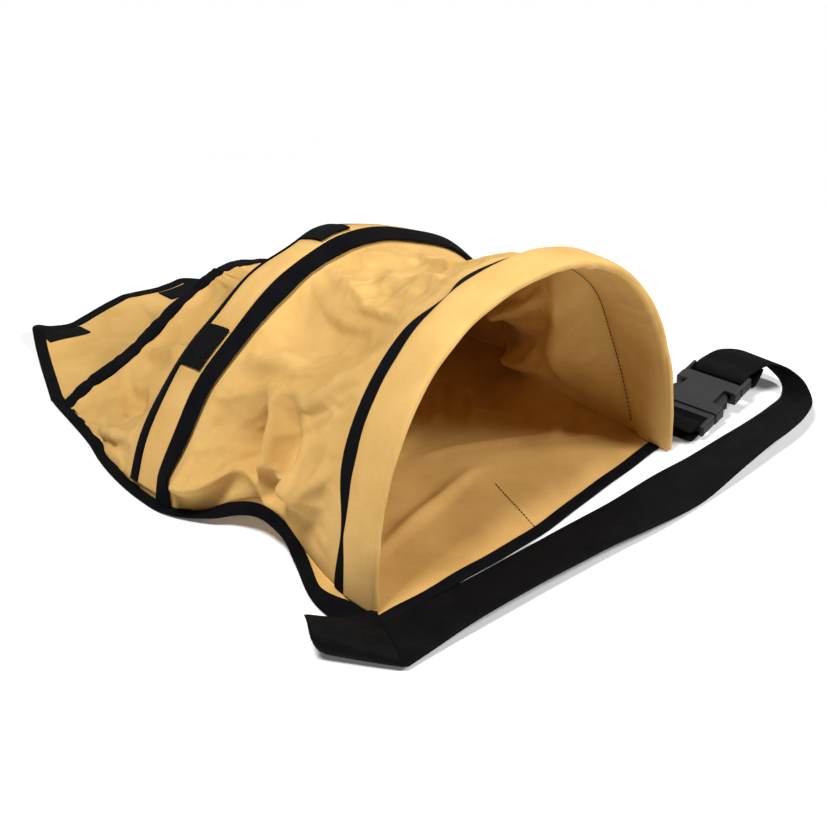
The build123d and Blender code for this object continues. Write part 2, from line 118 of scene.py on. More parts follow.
def eased(low: float, high: float, value: Points) -> Points:
    """Smooth step from 0 at low to 1 at high."""
    share = np.clip((value - low) / (high - low), 0.0, 1.0)
    return share * share * (3.0 - 2.0 * share)


def curve_through(knots: Sequence[float], values: Sequence, at: Points) -> Points:
    """Smooth curve through values at uneven knots.

    Args:
        knots: Rising places of the values.
        values: One number, or one row of numbers, for each knot.
        at: Places to read the curve at.

    Returns:
        The curve's values, with one row for each place where the values are rows.
    """
    knots = np.asarray(knots, float)
    values = np.asarray(values, float)
    slopes = np.gradient(values, knots, axis=0)
    at = np.clip(np.asarray(at, float), knots[0], knots[-1])
    low = np.clip(np.searchsorted(knots, at, side="right") - 1, 0, len(knots) - 2)
    span = knots[low + 1] - knots[low]
    part = (at - knots[low]) / span
    if values.ndim > 1:
        span = span[..., None]
        part = part[..., None]
    start = (1.0 + 2.0 * part) * (1.0 - part) ** 2 * values[low]
    finish = part**2 * (3.0 - 2.0 * part) * values[low + 1]
    leave = part * (1.0 - part) ** 2 * span * slopes[low]
    arrive = part**2 * (part - 1.0) * span * slopes[low + 1]
    return start + finish + leave + arrive


def along_table(table: Sequence[Sequence[float]], at: Points) -> Points:
    """Smooth curve through a table of places and values."""
    places, values = np.array(table).T
    return curve_through(places, values, at)


def unit(vectors: Points) -> Points:
    """The same directions at length one."""
    return vectors / np.maximum(np.linalg.norm(vectors, axis=-1, keepdims=True), 1e-12)


def signed_power(values: Points, power: float | Points) -> Points:
    """Power of each value's size, with its sign."""
    return np.sign(values) * np.abs(values) ** power


def hump(value: Points, middle: float | Points, width: float) -> Points:
    """A smooth hump of height 1 at its middle."""
    return np.exp(-(((value - middle) / width) ** 2))


def run_length(points: Points) -> Points:
    """Length walked along a line of points, from 0 at its first."""
    steps = np.linalg.norm(np.diff(points, axis=0), axis=1)
    return np.concatenate(([0.0], np.cumsum(steps)))


def ripple(first: Points, second: Points, wave: float, seed: int) -> Points:
    """Uneven waves between about -1 and 1 over a flat cloth.

    Args:
        first: Place across the cloth.
        second: Place along the cloth.
        wave: Mean wave length.
        seed: Choice of the waves.

    Returns:
        The height of the waves at each place.
    """
    draw = np.random.default_rng(seed)
    total = np.zeros_like(first)
    waves = 7
    shortest, longest = 0.6, 1.6
    for _ in range(waves):
        heading = draw.uniform(0.0, math.pi)
        pitch = 2.0 * math.pi / (wave * draw.uniform(shortest, longest))
        phase = draw.uniform(0.0, 2.0 * math.pi)
        total += np.sin(pitch * (first * math.cos(heading) + second * math.sin(heading)) + phase)
    return total / math.sqrt(waves)


def formed_grid(across: int, along: int, place: Placing) -> bmesh.types.BMesh:
    """A grid with each corner moved to its place and a woven map in metres.

    Args:
        across: Number of faces across.
        along: Number of faces along.
        place: Gives points and map places for the shares across and along, from 0 to 1.

    Returns:
        The form, which placed() puts into the scene.
    """
    form = bmesh.new()
    weave = form.loops.layers.uv.new(WEAVE_MAP)
    bmesh.ops.create_grid(form, x_segments=across, y_segments=along, size=0.5)
    form.verts.index_update()
    flat = np.array([corner.co for corner in form.verts])
    points, lengths = place(flat[:, 0] + 0.5, flat[:, 1] + 0.5)
    for corner, point in zip(form.verts, points):
        corner.co = point
    for face in form.faces:
        face.smooth = True
        for loop in face.loops:
            loop[weave].uv = lengths[loop.vert.index]
    return form


def grid_sheet(name: str, across: int, along: int, place: Placing) -> bpy.types.Object:
    """A sheet in the scene, made from a grid that is moved into place."""
    return placed(name, formed_grid(across, along, place))


def placed(name: str, form: bmesh.types.BMesh) -> bpy.types.Object:
    """Puts a finished form into the scene.

    Args:
        name: Name of the new object.
        form: The form, which is used up.

    Returns:
        The new mesh object.
    """
    mesh = bpy.data.meshes.new(name)
    form.to_mesh(mesh)
    form.free()
    piece = bpy.data.objects.new(name, mesh)
    bpy.context.scene.collection.objects.link(piece)
    return piece


@dataclass
class Ribbon:
    """A closed flat bar of cloth along a line: a folded binding, a padded sleeve or webbing."""

    # How square the edges of an even section are
    EDGE_POWER = 14

    name: str
    centres: Points
    sides: Points
    outs: Points
    around: int = 14
    squareness: float = 4.0
    even: bool = False

    def section(self, angle: Points) -> Pair:
        """Places across and out of the ribbon round its section, from -1 to 1."""
        if self.even:
            level = 2.0 * np.abs(angle / math.pi - 1.0) - 1.0
            rise = np.sqrt(np.clip(1.0 - np.abs(level) ** self.EDGE_POWER, 0.0, 1.0))
            return level, np.sign(np.sin(angle)) * rise
        power = 2.0 / self.squareness
        return signed_power(np.cos(angle), power), signed_power(np.sin(angle), power)

    def build(self) -> bpy.types.Object:
        """The ribbon as one closed mesh with capped ends."""
        rows = len(self.centres) - 1
        walked = run_length(self.centres)

        def place(first: Points, second: Points) -> Pair:
            """Gives the corners their places.

            Args:
                first: Shares across.
                second: Shares along.

            Returns:
                Points and map places.
            """
            row = np.rint(second * rows).astype(int)
            level, rise = self.section(2.0 * math.pi * first)
            points = self.centres[row] + self.sides[row] * level[:, None] + self.outs[row] * rise[:, None]
            half = np.linalg.norm(self.sides[row], axis=1)
            return points, np.stack((level * half, walked[row]), axis=1)

        form = formed_grid(self.around, rows, place)
        bmesh.ops.remove_doubles(form, verts=form.verts, dist=1e-6)
        rims = [edge for edge in form.edges if edge.is_boundary]
        bmesh.ops.holes_fill(form, edges=rims, sides=0)
        bmesh.ops.recalc_face_normals(form, faces=form.faces)
        return placed(self.name, form)


def thicken(piece: bpy.types.Object, thickness: float, offset: float = -1.0) -> None:
    """Gives a sheet its thickness and smooths it.

    Args:
        piece: The sheet.
        thickness: Cloth thickness.
        offset: -1 grows the sheet inwards from its face, 1 outwards.
    """
    wall = piece.modifiers.new("Thickness", "SOLIDIFY")
    wall.thickness = thickness
    wall.offset = offset
    soft = piece.modifiers.new("Softness", "SUBSURF")
    soft.levels = 1
    soft.render_levels = 1


class NodeDesk:
    """Lays the nodes of a material or of the world."""

    def __init__(self, owner: bpy.types.Material | bpy.types.World) -> None:
        """Starts with an empty tree."""
        owner.use_nodes = True
        self.owner = owner
        self.tree = owner.node_tree
        self.tree.nodes.clear()

    def add(self, kind: str, **values: object) -> bpy.types.Node:
        """Adds a node.

        Args:
            kind: Node type without its ShaderNode start.
            values: Node settings, or values of sockets whose names are given with _ for spaces.

        Returns:
            The new node.
        """
        node = self.tree.nodes.new("ShaderNode" + kind)
        for key, value in values.items():
            socket = node.inputs.get(key.replace("_", " "))
            if socket is not None:
                socket.default_value = value
            else:
                setattr(node, key, value)
        return node

    def join(self, source: bpy.types.Node, output: str | int, target: bpy.types.Node, entry: str | int) -> None:
        """Links an output socket to an input socket."""
        self.tree.links.new(source.outputs[output], target.inputs[entry])

    def ramp(self, dark: tuple, light: tuple, low: float = 0.0, high: float = 1.0) -> bpy.types.Node:
        """Adds a ramp between two colours.

        Args:
            dark: Colour at the low place.
            light: Colour at the high place.
            low: Place of the dark colour.
            high: Place of the light colour.

        Returns:
            The ramp node.
        """
        node = self.add("ValToRGB")
        node.color_ramp.elements[0].position = low
        node.color_ramp.elements[0].color = (*dark, 1.0)
        node.color_ramp.elements[1].position = high
        node.color_ramp.elements[1].color = (*light, 1.0)
        return node

    def maths(self, operation: str, first: bpy.types.Node, second: bpy.types.Node | float) -> bpy.types.Node:
        """Adds a sum or product of a node's first output and another node or a number.

        Args:
            operation: Name of the operation.
            first: Node whose first output goes in.
            second: Node or number for the second entry.

        Returns:
            The maths node.
        """
        node = self.add("Math", operation=operation)
        self.join(first, 0, node, 0)
        if isinstance(second, (int, float)):
            node.inputs[1].default_value = second
        else:
            self.join(second, 0, node, 1)
        return node

    def close(self, surface: bpy.types.Node, height: bpy.types.Node, strength: float, reach: float) -> None:
        """Puts the bump on the surface and the surface on the output.

        Args:
            surface: The principled shader.
            height: Node whose first output is the height.
            strength: Bump strength.
            reach: Bump height in metres.
        """
        bump = self.add("Bump", Strength=strength, Distance=reach)
        self.join(height, 0, bump, "Height")
        self.join(bump, "Normal", surface, "Normal")
        self.join(surface, 0, self.add("OutputMaterial"), "Surface")

    def seen_rays(self) -> bpy.types.Node:
        """Adds a value that is 1 for rays that show the backdrop: from the camera, a gloss or a clear piece.

        Returns:
            The node whose first output is the value.
        """
        rays = self.add("LightPath")
        seen, output = rays, "Is Camera Ray"
        for kind in ("Is Glossy Ray", "Is Transmission Ray"):
            either = self.add("Math", operation="MAXIMUM")
            self.join(seen, output, either, 0)
            self.join(rays, kind, either, 1)
            seen, output = either, 0
        return seen

    def mix(self, share: bpy.types.Node, first: bpy.types.Node, second: bpy.types.Node, output: str) -> None:
        """Mixes two shaders and puts them on the output.

        Args:
            share: Node whose first output is the share of the second shader.
            first: Shader at a share of 0.
            second: Shader at a share of 1.
            output: Kind of output node.
        """
        mixed = self.add("MixShader")
        for entry, source in enumerate((share, first, second)):
            self.join(source, 0, mixed, entry)
        self.join(mixed, 0, self.add(output), "Surface")


@dataclass(frozen=True)
class WovenFinish:
    """Plain or twill woven cloth with uneven colour."""

    # A wave texture at a scale of 1 repeats after this length
    WAVE_SCALE = math.pi / 10.0
    FINE_SCALE = 650.0
    # Shares of the broad mottle, the fine fibres and the weave in the colour, and where its ramp begins and ends
    MOTTLE_SHARE, FIBRE_SHARE, WEAVE_SHARE = 0.65, 0.2, 0.15
    RAMP = (0.34, 0.7)
    FIBRE_HEIGHT = 0.8
    BUMP_REACH = 0.3 * MM

    name: str
    dark: Colour
    light: Colour
    thread_pitch: float
    slant: float
    roughness: float
    sheen: float
    sheen_tint: Colour
    bump: float
    mottle: float
    gloss: float = 0.2

    def material(self) -> bpy.types.Material:
        """Builds the cloth: two sets of threads, mottled colour and a slight sheen."""
        desk = NodeDesk(bpy.data.materials.new(self.name))
        cloth = desk.add("UVMap", uv_map=WEAVE_MAP)
        lie = desk.add("Mapping", Rotation=(0.0, 0.0, self.slant))
        desk.join(cloth, 0, lie, 0)
        threads = []
        for direction in ("X", "Y"):
            wave = desk.add("TexWave", bands_direction=direction, Scale=self.WAVE_SCALE / self.thread_pitch,
                            Distortion=0.5, Detail=1.0)
            desk.join(lie, 0, wave, 0)
            threads.append(wave)
        weave = desk.maths("MAXIMUM", *threads)
        place = desk.add("TexCoord")
        broad = desk.add("TexNoise", Scale=self.mottle, Detail=4.0, Roughness=0.6)
        fine = desk.add("TexNoise", Scale=self.FINE_SCALE, Detail=3.0, Roughness=0.7)
        for noise in (broad, fine):
            desk.join(place, "Object", noise, 0)
        mottled = desk.maths("MULTIPLY", broad, self.MOTTLE_SHARE)
        shade = desk.maths("ADD", mottled, desk.maths("MULTIPLY", fine, self.FIBRE_SHARE))
        shade = desk.maths("ADD", shade, desk.maths("MULTIPLY", weave, self.WEAVE_SHARE))
        colour = desk.ramp(self.dark, self.light, *self.RAMP)
        desk.join(shade, 0, colour, 0)
        face = desk.add("BsdfPrincipled", Roughness=self.roughness, Sheen_Weight=self.sheen, Sheen_Roughness=0.45,
                        Sheen_Tint=(*self.sheen_tint, 1.0), Specular_IOR_Level=self.gloss)
        desk.join(colour, 0, face, "Base Color")
        height = desk.maths("ADD", weave, desk.maths("MULTIPLY", fine, self.FIBRE_HEIGHT))
        desk.close(face, height, self.bump, self.BUMP_REACH)
        return desk.owner


@dataclass(frozen=True)
class PileFinish:
    """Hook and loop tape: a dense matt pile."""

    RAMP = (0.35, 0.75)

    name: str
    dark: Colour
    light: Colour

    def material(self) -> bpy.types.Material:
        """Builds the pile: small cells and fuzz."""
        desk = NodeDesk(bpy.data.materials.new(self.name))
        place = desk.add("TexCoord")
        cells = desk.add("TexVoronoi", Scale=900.0)
        fuzz = desk.add("TexNoise", Scale=380.0, Detail=5.0, Roughness=0.75)
        for pattern in (cells, fuzz):
            desk.join(place, "Object", pattern, "Vector")
        colour = desk.ramp(self.dark, self.light, *self.RAMP)
        desk.join(fuzz, 0, colour, 0)
        face = desk.add("BsdfPrincipled", Roughness=0.95, Specular_IOR_Level=0.05)
        desk.join(colour, 0, face, "Base Color")
        desk.close(face, desk.maths("ADD", cells, fuzz), strength=0.7, reach=0.6 * MM)
        return desk.owner


@dataclass(frozen=True)
class PlasticFinish:
    """Moulded plastic with a fine spark-eroded grain and rubbed patches."""

    RAMP = (0.3, 0.75)
    # How much smoother and rougher than the mean the patches are
    SMOOTHER, ROUGHER = 0.08, 0.12

    name: str
    dark: Colour
    light: Colour
    roughness: float

    def material(self) -> bpy.types.Material:
        """Builds the plastic: uneven gloss, a little colour change and fine grain."""
        desk = NodeDesk(bpy.data.materials.new(self.name))
        place = desk.add("TexCoord")
        patches = desk.add("TexNoise", Scale=70.0, Detail=4.0, Roughness=0.6)
        grain = desk.add("TexNoise", Scale=1500.0, Detail=2.0, Roughness=0.6)
        for noise in (patches, grain):
            desk.join(place, "Object", noise, 0)
        colour = desk.ramp(self.dark, self.light, *self.RAMP)
        desk.join(patches, 0, colour, 0)
        gloss = desk.add("MapRange", To_Min=self.roughness - self.SMOOTHER, To_Max=self.roughness + self.ROUGHER)
        desk.join(patches, 0, gloss, 0)
        face = desk.add("BsdfPrincipled", Specular_IOR_Level=0.3)
        desk.join(colour, 0, face, "Base Color")
        desk.join(gloss, 0, face, "Roughness")
        desk.close(face, grain, strength=0.12, reach=0.2 * MM)
        return desk.owner


@dataclass(frozen=True)
class Finishes:
    """All finishes of the bag, named like their material slots."""

    canvas: WovenFinish = WovenFinish(
        "tan canvas", dark=(0.55, 0.318, 0.090), light=(0.75, 0.472, 0.165), thread_pitch=0.85 * MM, slant=0.0,
        roughness=0.9, sheen=0.03, sheen_tint=(1.0, 0.86, 0.62), bump=0.22, mottle=16.0, gloss=0.1)
    tape: WovenFinish = WovenFinish(
        "black twill tape", dark=(0.002, 0.002, 0.0026), light=(0.006, 0.006, 0.0072), thread_pitch=0.9 * MM,
        slant=math.radians(45.0), roughness=0.85, sheen=0.0, sheen_tint=(0.5, 0.5, 0.55), bump=0.5, mottle=40.0,
        gloss=0.03)
    webbing: WovenFinish = WovenFinish(
        "ribbed webbing", dark=(0.0014, 0.0014, 0.0016), light=(0.0045, 0.0045, 0.005), thread_pitch=1.0 * MM,
        slant=0.0, roughness=0.6, sheen=0.0, sheen_tint=(0.5, 0.5, 0.52), bump=0.35, mottle=60.0, gloss=0.04)
    thread: WovenFinish = WovenFinish(
        "black thread", dark=(0.006, 0.006, 0.007), light=(0.02, 0.02, 0.022), thread_pitch=0.4 * MM,
        slant=math.radians(35.0), roughness=0.6, sheen=0.1, sheen_tint=(0.5, 0.5, 0.5), bump=0.4, mottle=80.0)
    pile: PileFinish = PileFinish("hook and loop pile", dark=(0.003, 0.003, 0.0035), light=(0.009, 0.009, 0.010))
    buckle: PlasticFinish = PlasticFinish(
        "black moulded plastic", dark=(0.006, 0.006, 0.0066), light=(0.014, 0.014, 0.0154), roughness=0.45)
    strip: PlasticFinish = PlasticFinish(
        "plain plastic strip", dark=(0.6, 0.6, 0.57), light=(0.75, 0.75, 0.72), roughness=0.5)

    def shop(self) -> dict[Slot, bpy.types.Material]:
        """The materials by slot."""
        return {slot: getattr(self, slot.name.lower()).material() for slot in Slot}


class Workshop:
    """Dresses finished pieces: material, slot and the CAD node that they stand for."""

    def __init__(self, frame: dict, materials: dict[Slot, bpy.types.Material]) -> None:
        """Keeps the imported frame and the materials."""
        self.frame = frame
        self.materials = materials

    def coat(self, piece: bpy.types.Object, slot: Slot) -> None:
        """Gives a piece the material of its slot, and no other."""
        piece.data.materials.clear()
        piece.data.materials.append(self.materials[slot])

    def dress(self, piece: bpy.types.Object, slot: Slot, *nodes: str) -> None:
        """Gives a piece its finish and hides the nodes that it stands for.

        Args:
            piece: The new piece.
            slot: Its material slot.
            nodes: CAD nodes that it replaces.
        """
        self.coat(piece, slot)
        if nodes:
            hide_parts(*nodes)
        LOG.info("%s: %s, %d corners", piece.name, slot.value, len(piece.data.vertices))

    def paint(self, node: str, slot: Slot) -> None:
        """Gives a CAD node, whose shape stays, a better finish."""
        self.coat(self.frame["nodes"][node], slot)
        LOG.info("%s: CAD shape with %s", node, slot.value)


@dataclass(frozen=True)
class BagSizes:
    """Main sizes and places of the bag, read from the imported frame."""

    # How far the hoop's sleeve stands out past the mouth line
    HOOP_OVERHANG = 0.008

    mouth_y: float
    mouth_half: float
    hoop_top: float
    hoop_foot: float
    hoop_front: float
    hoop_back: float
    seam_down: float
    cross_down: float
    cross_top: float
    band_down: float
    hem_down: float
    hem_top: float
    fold_down: float
    flap_end: float
    cloth: float
    drift_rate: float

    @classmethod
    def from_frame(cls) -> "BagSizes":
        """Reads the sizes from the nodes' boxes."""
        hoop_low, hoop_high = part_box("hoop_sleeve")
        tape_low, tape_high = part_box("front_cross_tape")
        hem_low, hem_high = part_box("chute_hem_binding")
        panel_low, panel_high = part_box("back_panel")
        front_low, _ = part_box("front_panel")
        _, chute_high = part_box("chute_panel")
        _, band_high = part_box("closure_band")
        _, flap_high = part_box("flap_binding")
        mouth_y = hoop_low.y + cls.HOOP_OVERHANG
        cross_down = (tape_low.y + tape_high.y) / 2.0 - mouth_y
        hem_down = chute_high.y - mouth_y
        return cls(
            mouth_y=mouth_y,
            mouth_half=hoop_high.x,
            hoop_top=hoop_high.z,
            hoop_foot=hoop_low.z,
            hoop_front=hoop_low.y,
            hoop_back=hoop_high.y,
            seam_down=front_low.y - mouth_y,
            cross_down=cross_down,
            cross_top=chute_high.z,
            band_down=band_high.y - mouth_y,
            hem_down=hem_down,
            hem_top=hem_high.z,
            fold_down=panel_high.y - mouth_y,
            flap_end=flap_high.y - mouth_y,
            cloth=panel_high.z - panel_low.z,
            drift_rate=(hem_low.x + hem_high.x) / 2.0 / (hem_down - cross_down),
        )

    def y_at(self, down: Points) -> Points:
        """Y of a place down the bag."""
        return down + self.mouth_y

    def middle_at(self, down: Points) -> Points:
        """X of the bag's middle, which drifts to the left past the cross seam."""
        return self.drift_rate * np.maximum(0.0, down - self.cross_down)


@dataclass(frozen=True)
class Fold:
    """A ridge in the cloth along a given line, with a valley or a steeper side on its right hand."""

    # Farther off than any place on the cloth, and the valley's distance from the ridge in widths
    FAR_OFF = 1e3
    VALLEY_AT = 1.5

    line: tuple[tuple[float, float], ...]
    width: float
    height: float
    valley: float = 0.0
    steep: float = 1.0
    power: float = 2.0

    def lift(self, down: Points, across: Points) -> Points:
        """Height of the fold at places on the cloth.

        Args:
            down: Places down the bag.
            across: Places across the cloth, 0 at its middle.

        Returns:
            The lift along the cloth's normal.
        """
        best = np.full_like(down, self.FAR_OFF)
        side = np.zeros_like(down)
        walked = np.zeros_like(down)
        total = run_length(np.array(self.line))
        for index in range(len(self.line) - 1):
            start = np.array(self.line[index])
            way = np.array(self.line[index + 1]) - start
            size = math.hypot(*way)
            way = way / size
            along = np.clip((down - start[0]) * way[0] + (across - start[1]) * way[1], 0.0, size)
            off_down = down - start[0] - along * way[0]
            off_across = across - start[1] - along * way[1]
            gap = np.hypot(off_down, off_across)
            nearer = gap < best
            best = np.where(nearer, gap, best)
            side = np.where(nearer, np.sign(way[0] * off_across - way[1] * off_down), side)
            walked = np.where(nearer, total[index] + along, walked)
        fade = np.sin(math.pi * np.clip(walked / total[-1], 0.0, 1.0))
        signed = best * side / self.width
        signed = np.where(signed > 0.0, signed * self.steep, signed)
        valley = self.valley * np.exp(-((signed - self.VALLEY_AT) ** 2))
        ridge = np.exp(-np.abs(signed) ** self.power) - valley
        return self.height * fade * ridge


def heights(folds: Sequence[Fold], down: Points, across: Points) -> Points:
    """Sum of the folds' heights at places on the cloth."""
    return sum((fold.lift(down, across) for fold in folds), np.zeros_like(down))


@dataclass(frozen=True)
class SeamLine:
    """One side seam: down, X and Z of the cloth's edge at listed places."""

    points: tuple[tuple[float, float, float], ...]

    def at(self, down: Points) -> Pair:
        """X and Z of the seam at places down the bag."""
        table = np.array(self.points)
        line = curve_through(table[:, 0], table[:, 1:], down)
        return line[..., 0], line[..., 1]


@dataclass
class FrontShape:
    """Shape of the arched front from the hoop to the hem, shared by its cloths and tapes."""

    ARC = 0.54
    # Seeds of the uneven waves: soft ripple, broad and small crumples, and where the small ones lie
    RIPPLE_SEED, BROAD_SEED, SMALL_SEED, PATCH_SEED = 4, 21, 22, 23

    sizes: BagSizes
    left: SeamLine
    right: SeamLine
    folds: Sequence[Fold]
    creases: Sequence[Fold]
    table_faces: tuple[int, int] = (150, 200)
    table_margins: tuple[float, float] = (0.008, 0.016)
    evened_at: float = 0.16
    frames: int = 16
    spare: float = 0.016
    slump: float = 0.06
    crumple: float = 0.0016
    crumple_waves: tuple[float, float, float] = (0.060, 0.034, 0.16)
    ripple_height: float = 0.0011
    ripple_wave: float = 0.075
    band_damping: float = 0.7
    hoop_clear: tuple[float, float] = (0.037, 0.058)
    foot_clear: float = 0.03
    edge_clear: float = 0.05
    hold: float = 0.012
    stiff_reach: float = 0.014
    stiff_more: float = 0.008
    clearance: float = 0.0006

    def __post_init__(self) -> None:
        """Works out the arch stations and an even walk over the arch."""
        sizes = self.sizes
        seam_top = sizes.hoop_top - sizes.cloth
        # Down the bag: crown's X, crown's height, fullness of the left and of the right shoulder
        self.stations = np.array([
            (0.0, 0.0, seam_top, 2.4, 2.12),
            (0.0185, 0.0, seam_top - 0.0025, 2.4, 2.08),
            (0.031, 0.0, seam_top - 0.009, 2.4, 2.08),
            (0.055, 0.0, 0.203, 2.35, 2.1),
            (0.080, 0.0, 0.196, 2.25, 2.12),
            (0.110, 0.0, 0.1865, 2.1, 2.1),
            (0.150, 0.0, 0.172, 1.9, 2.0),
            (0.185, 0.0, 0.160, 1.7, 1.9),
            (0.1975, -0.0026, 0.1625, 1.62, 1.87),
            (sizes.cross_down, -0.0026, sizes.cross_top - 0.0015, 1.607, 1.866),
            (0.2145, -0.003, sizes.cross_top + 0.0015, 1.6, 1.86),
            (0.228, -0.004, sizes.cross_top, 1.59, 1.83),
            (sizes.band_down, -0.0054, 0.162, 1.6, 1.8),
            (0.262, -0.003, 0.142, 1.45, 1.8),
            (0.300, 0.0, 0.116, 1.25, 1.85),
            (0.345, 0.004, 0.094, 1.05, 1.9),
            (sizes.hem_down, 0.0071, sizes.hem_top + 0.005, 0.95, 1.95),
            (sizes.hem_down + 0.02, 0.0071, sizes.hem_top, 0.95, 1.95),
        ])
        turns = np.linspace(0.0, 1.0, 401)
        walked = run_length(self.arch(np.full_like(turns, self.evened_at), turns))
        self.turn_table = (walked / walked[-1], turns)
        self.table_start = sizes.seam_down - self.table_margins[0]
        self.table_end = sizes.hem_down + self.table_margins[1]
        self.table: Points = np.zeros((1, 1, 3))

    def arch(self, down: Points, turn: Points) -> Points:
        """Points of the smooth arch, by the arch's angle as a share of a half turn."""
        left_x, left_z = self.left.at(down)
        right_x, right_z = self.right.at(down)
        station = curve_through(self.stations[:, 0], self.stations[:, 1:], down)
        on_left = turn < 0.5
        foot_x = np.where(on_left, left_x, right_x)
        foot_z = np.where(on_left, left_z, right_z)
        power = 2.0 / np.where(on_left, station[..., 2], station[..., 3])
        level = np.abs(np.cos(math.pi * turn)) ** power
        rise = np.clip(np.sin(math.pi * turn), 0.0, 1.0) ** power
        x = station[..., 0] + (foot_x - station[..., 0]) * level
        z = foot_z + (station[..., 1] - foot_z) * rise
        return np.stack((x, self.sizes.y_at(down), z), axis=-1)

    def bare(self, down: Points, share: Points) -> Points:
        """Points of the smooth arch, by the share of its length."""
        return self.arch(down, np.interp(share, *self.turn_table))

    def normal(self, down: Points, share: Points) -> Points:
        """Outward direction of the smooth arch, read a small step to each side and kept off its feet."""
        step, down_step = 0.004, 0.002
        low = np.clip(share - step, 0.002, 0.99)
        high = np.clip(share + step, 0.01, 0.998)
        over = self.bare(down, high) - self.bare(down, low)
        on = self.bare(down + down_step, share) - self.bare(down - down_step, share)
        return unit(np.cross(over, on))

    def draft(self, down: Points, share: Points) -> Points:
        """Points of the front with its listed folds, before the cloth settles."""
        across = (share - 0.5) * self.ARC
        below_hoop = eased(*self.hoop_clear, down)
        height = heights(self.folds, down, across) * (1.0 - self.band_damping * self.banded(down))
        height = height * below_hoop * eased(0.0, self.foot_clear, 1.0 - share)
        edge = eased(0.0, self.edge_clear, share) * eased(0.0, self.edge_clear, 1.0 - share) * below_hoop
        height = height + self.ripple_height * ripple(across, down, self.ripple_wave, self.RIPPLE_SEED) * edge
        return self.bare(down, share) + self.normal(down, share) * height[..., None]

    def held(self, down: Points, share: Points) -> Points:
        """How firmly each place of the cloth is held, from 0 to 1, while it settles."""
        seams = 1.0 - eased(0.0, self.hold, np.minimum(share, 1.0 - share))
        stiff = self.sizes.seam_down + self.stiff_reach + self.stiff_more * eased(0.45, 0.6, share)
        hoop = 1.0 - eased(0.0, self.hold, down - stiff)
        hem = eased(self.sizes.hem_down - self.hold, self.sizes.hem_down, down)
        return np.maximum.reduce((seams, hoop, self.banded(down), hem))

    def banded(self, down: Points) -> Points:
        """1 under the cross tape and the closure band, where the cloth is double, and 0 away from them."""
        begin = eased(self.sizes.cross_down - 0.016, self.sizes.cross_down - 0.007, down)
        return begin * (1.0 - eased(self.sizes.band_down + 0.004, self.sizes.band_down + 0.014, down))

    def settle(self) -> None:
        """Lets the cloth slump and crease between its seams, and keeps the result as a table of points."""
        rows, columns = self.table_faces
        down_axis = np.linspace(self.table_start, self.table_end, rows + 1)
        share_axis = np.linspace(0.0, 1.0, columns + 1)

        def place(first: Points, second: Points) -> Pair:
            """Gives the corners their places.

            Args:
                first: Shares across.
                second: Shares along.

            Returns:
                Points and map places.
            """
            down = self.table_start + (self.table_end - self.table_start) * second
            return self.draft(down, first), np.stack((first, second), axis=1)

        down, share = (part.ravel() for part in np.meshgrid(down_axis, share_axis, indexing="ij"))
        cloth = grid_sheet("settling_cloth", columns, rows, place)
        pins = cloth.vertex_groups.new(name="held")
        for index, weight in enumerate(self.held(down, share)):
            pins.add((index,), float(weight), "REPLACE")
        drape = cloth.modifiers.new("Drape", "CLOTH")
        settings = drape.settings
        settings.quality = 7
        settings.mass = 0.15
        settings.tension_stiffness = 30.0
        settings.compression_stiffness = 30.0
        settings.shear_stiffness = 8.0
        settings.bending_stiffness = 0.5
        settings.air_damping = 3.0
        settings.vertex_group_mass = pins.name
        settings.shrink_min = -self.spare
        settings.effector_weights.gravity = self.slump
        drape.collision_settings.use_collision = False
        drape.point_cache.frame_start = 1
        drape.point_cache.frame_end = self.frames
        scene = bpy.context.scene
        for frame in range(1, self.frames + 1):
            scene.frame_set(frame)
        shown = cloth.evaluated_get(bpy.context.evaluated_depsgraph_get())
        points = np.array([corner.co for corner in shown.data.vertices])
        self.table = self.creased(points, down, share)
        scene.frame_set(1)
        bpy.data.objects.remove(cloth)

    def creased(self, points: Points, down: Points, share: Points) -> Points:
        """Presses the sharp creases into the settled cloth.

        Args:
            points: Settled points, row by row.
            down: Their places down the bag.
            share: Their places along the arch.

        Returns:
            The points as a table of rows and columns.
        """
        table = points.reshape(self.table_faces[0] + 1, self.table_faces[1] + 1, 3)
        outward = unit(np.cross(np.gradient(table, axis=1), np.gradient(table, axis=0)))
        across = (share - 0.5) * self.ARC
        height = heights(self.creases, down, across) + self.crumple * self.crumples(down, across)
        height = height * (1.0 - self.held(down, share))
        table = table + outward * height.reshape(table.shape[:2])[..., None]
        table[..., 2] = np.maximum(table[..., 2], self.sizes.cloth + self.clearance)
        return table

    def crumples(self, down: Points, across: Points) -> Points:
        """Small sharp ridges in uneven lines, the smallest only here and there."""
        seeds = (self.BROAD_SEED, self.SMALL_SEED, self.PATCH_SEED)
        broad, small, patch = (ripple(across, down, wave, seed) for wave, seed in zip(self.crumple_waves, seeds))
        broad, small = (np.clip(1.0 - np.abs(lines), 0.0, 1.0) ** 2 for lines in (broad, small))
        return broad + 0.5 * small * eased(-0.3, 0.5, patch)

    def read(self, down: Points, share: Points) -> Points:
        """Points of the settled cloth between those of the table, on smooth curves."""
        rows, columns = self.table_faces
        row = np.clip((down - self.table_start) / (self.table_end - self.table_start), 0.0, 1.0) * rows
        column = np.clip(share, 0.0, 1.0) * columns
        low_row = np.clip(row.astype(int), 0, rows - 1)
        low_column = np.clip(column.astype(int), 0, columns - 1)
        total = np.zeros((*down.shape, 3))
        for row_step, row_weight in enumerate(self.weights(row - low_row), start=-1):
            at_row = np.clip(low_row + row_step, 0, rows)
            for column_step, column_weight in enumerate(self.weights(column - low_column), start=-1):
                at_column = np.clip(low_column + column_step, 0, columns)
                total += self.table[at_row, at_column] * (row_weight * column_weight)[..., None]
        return total

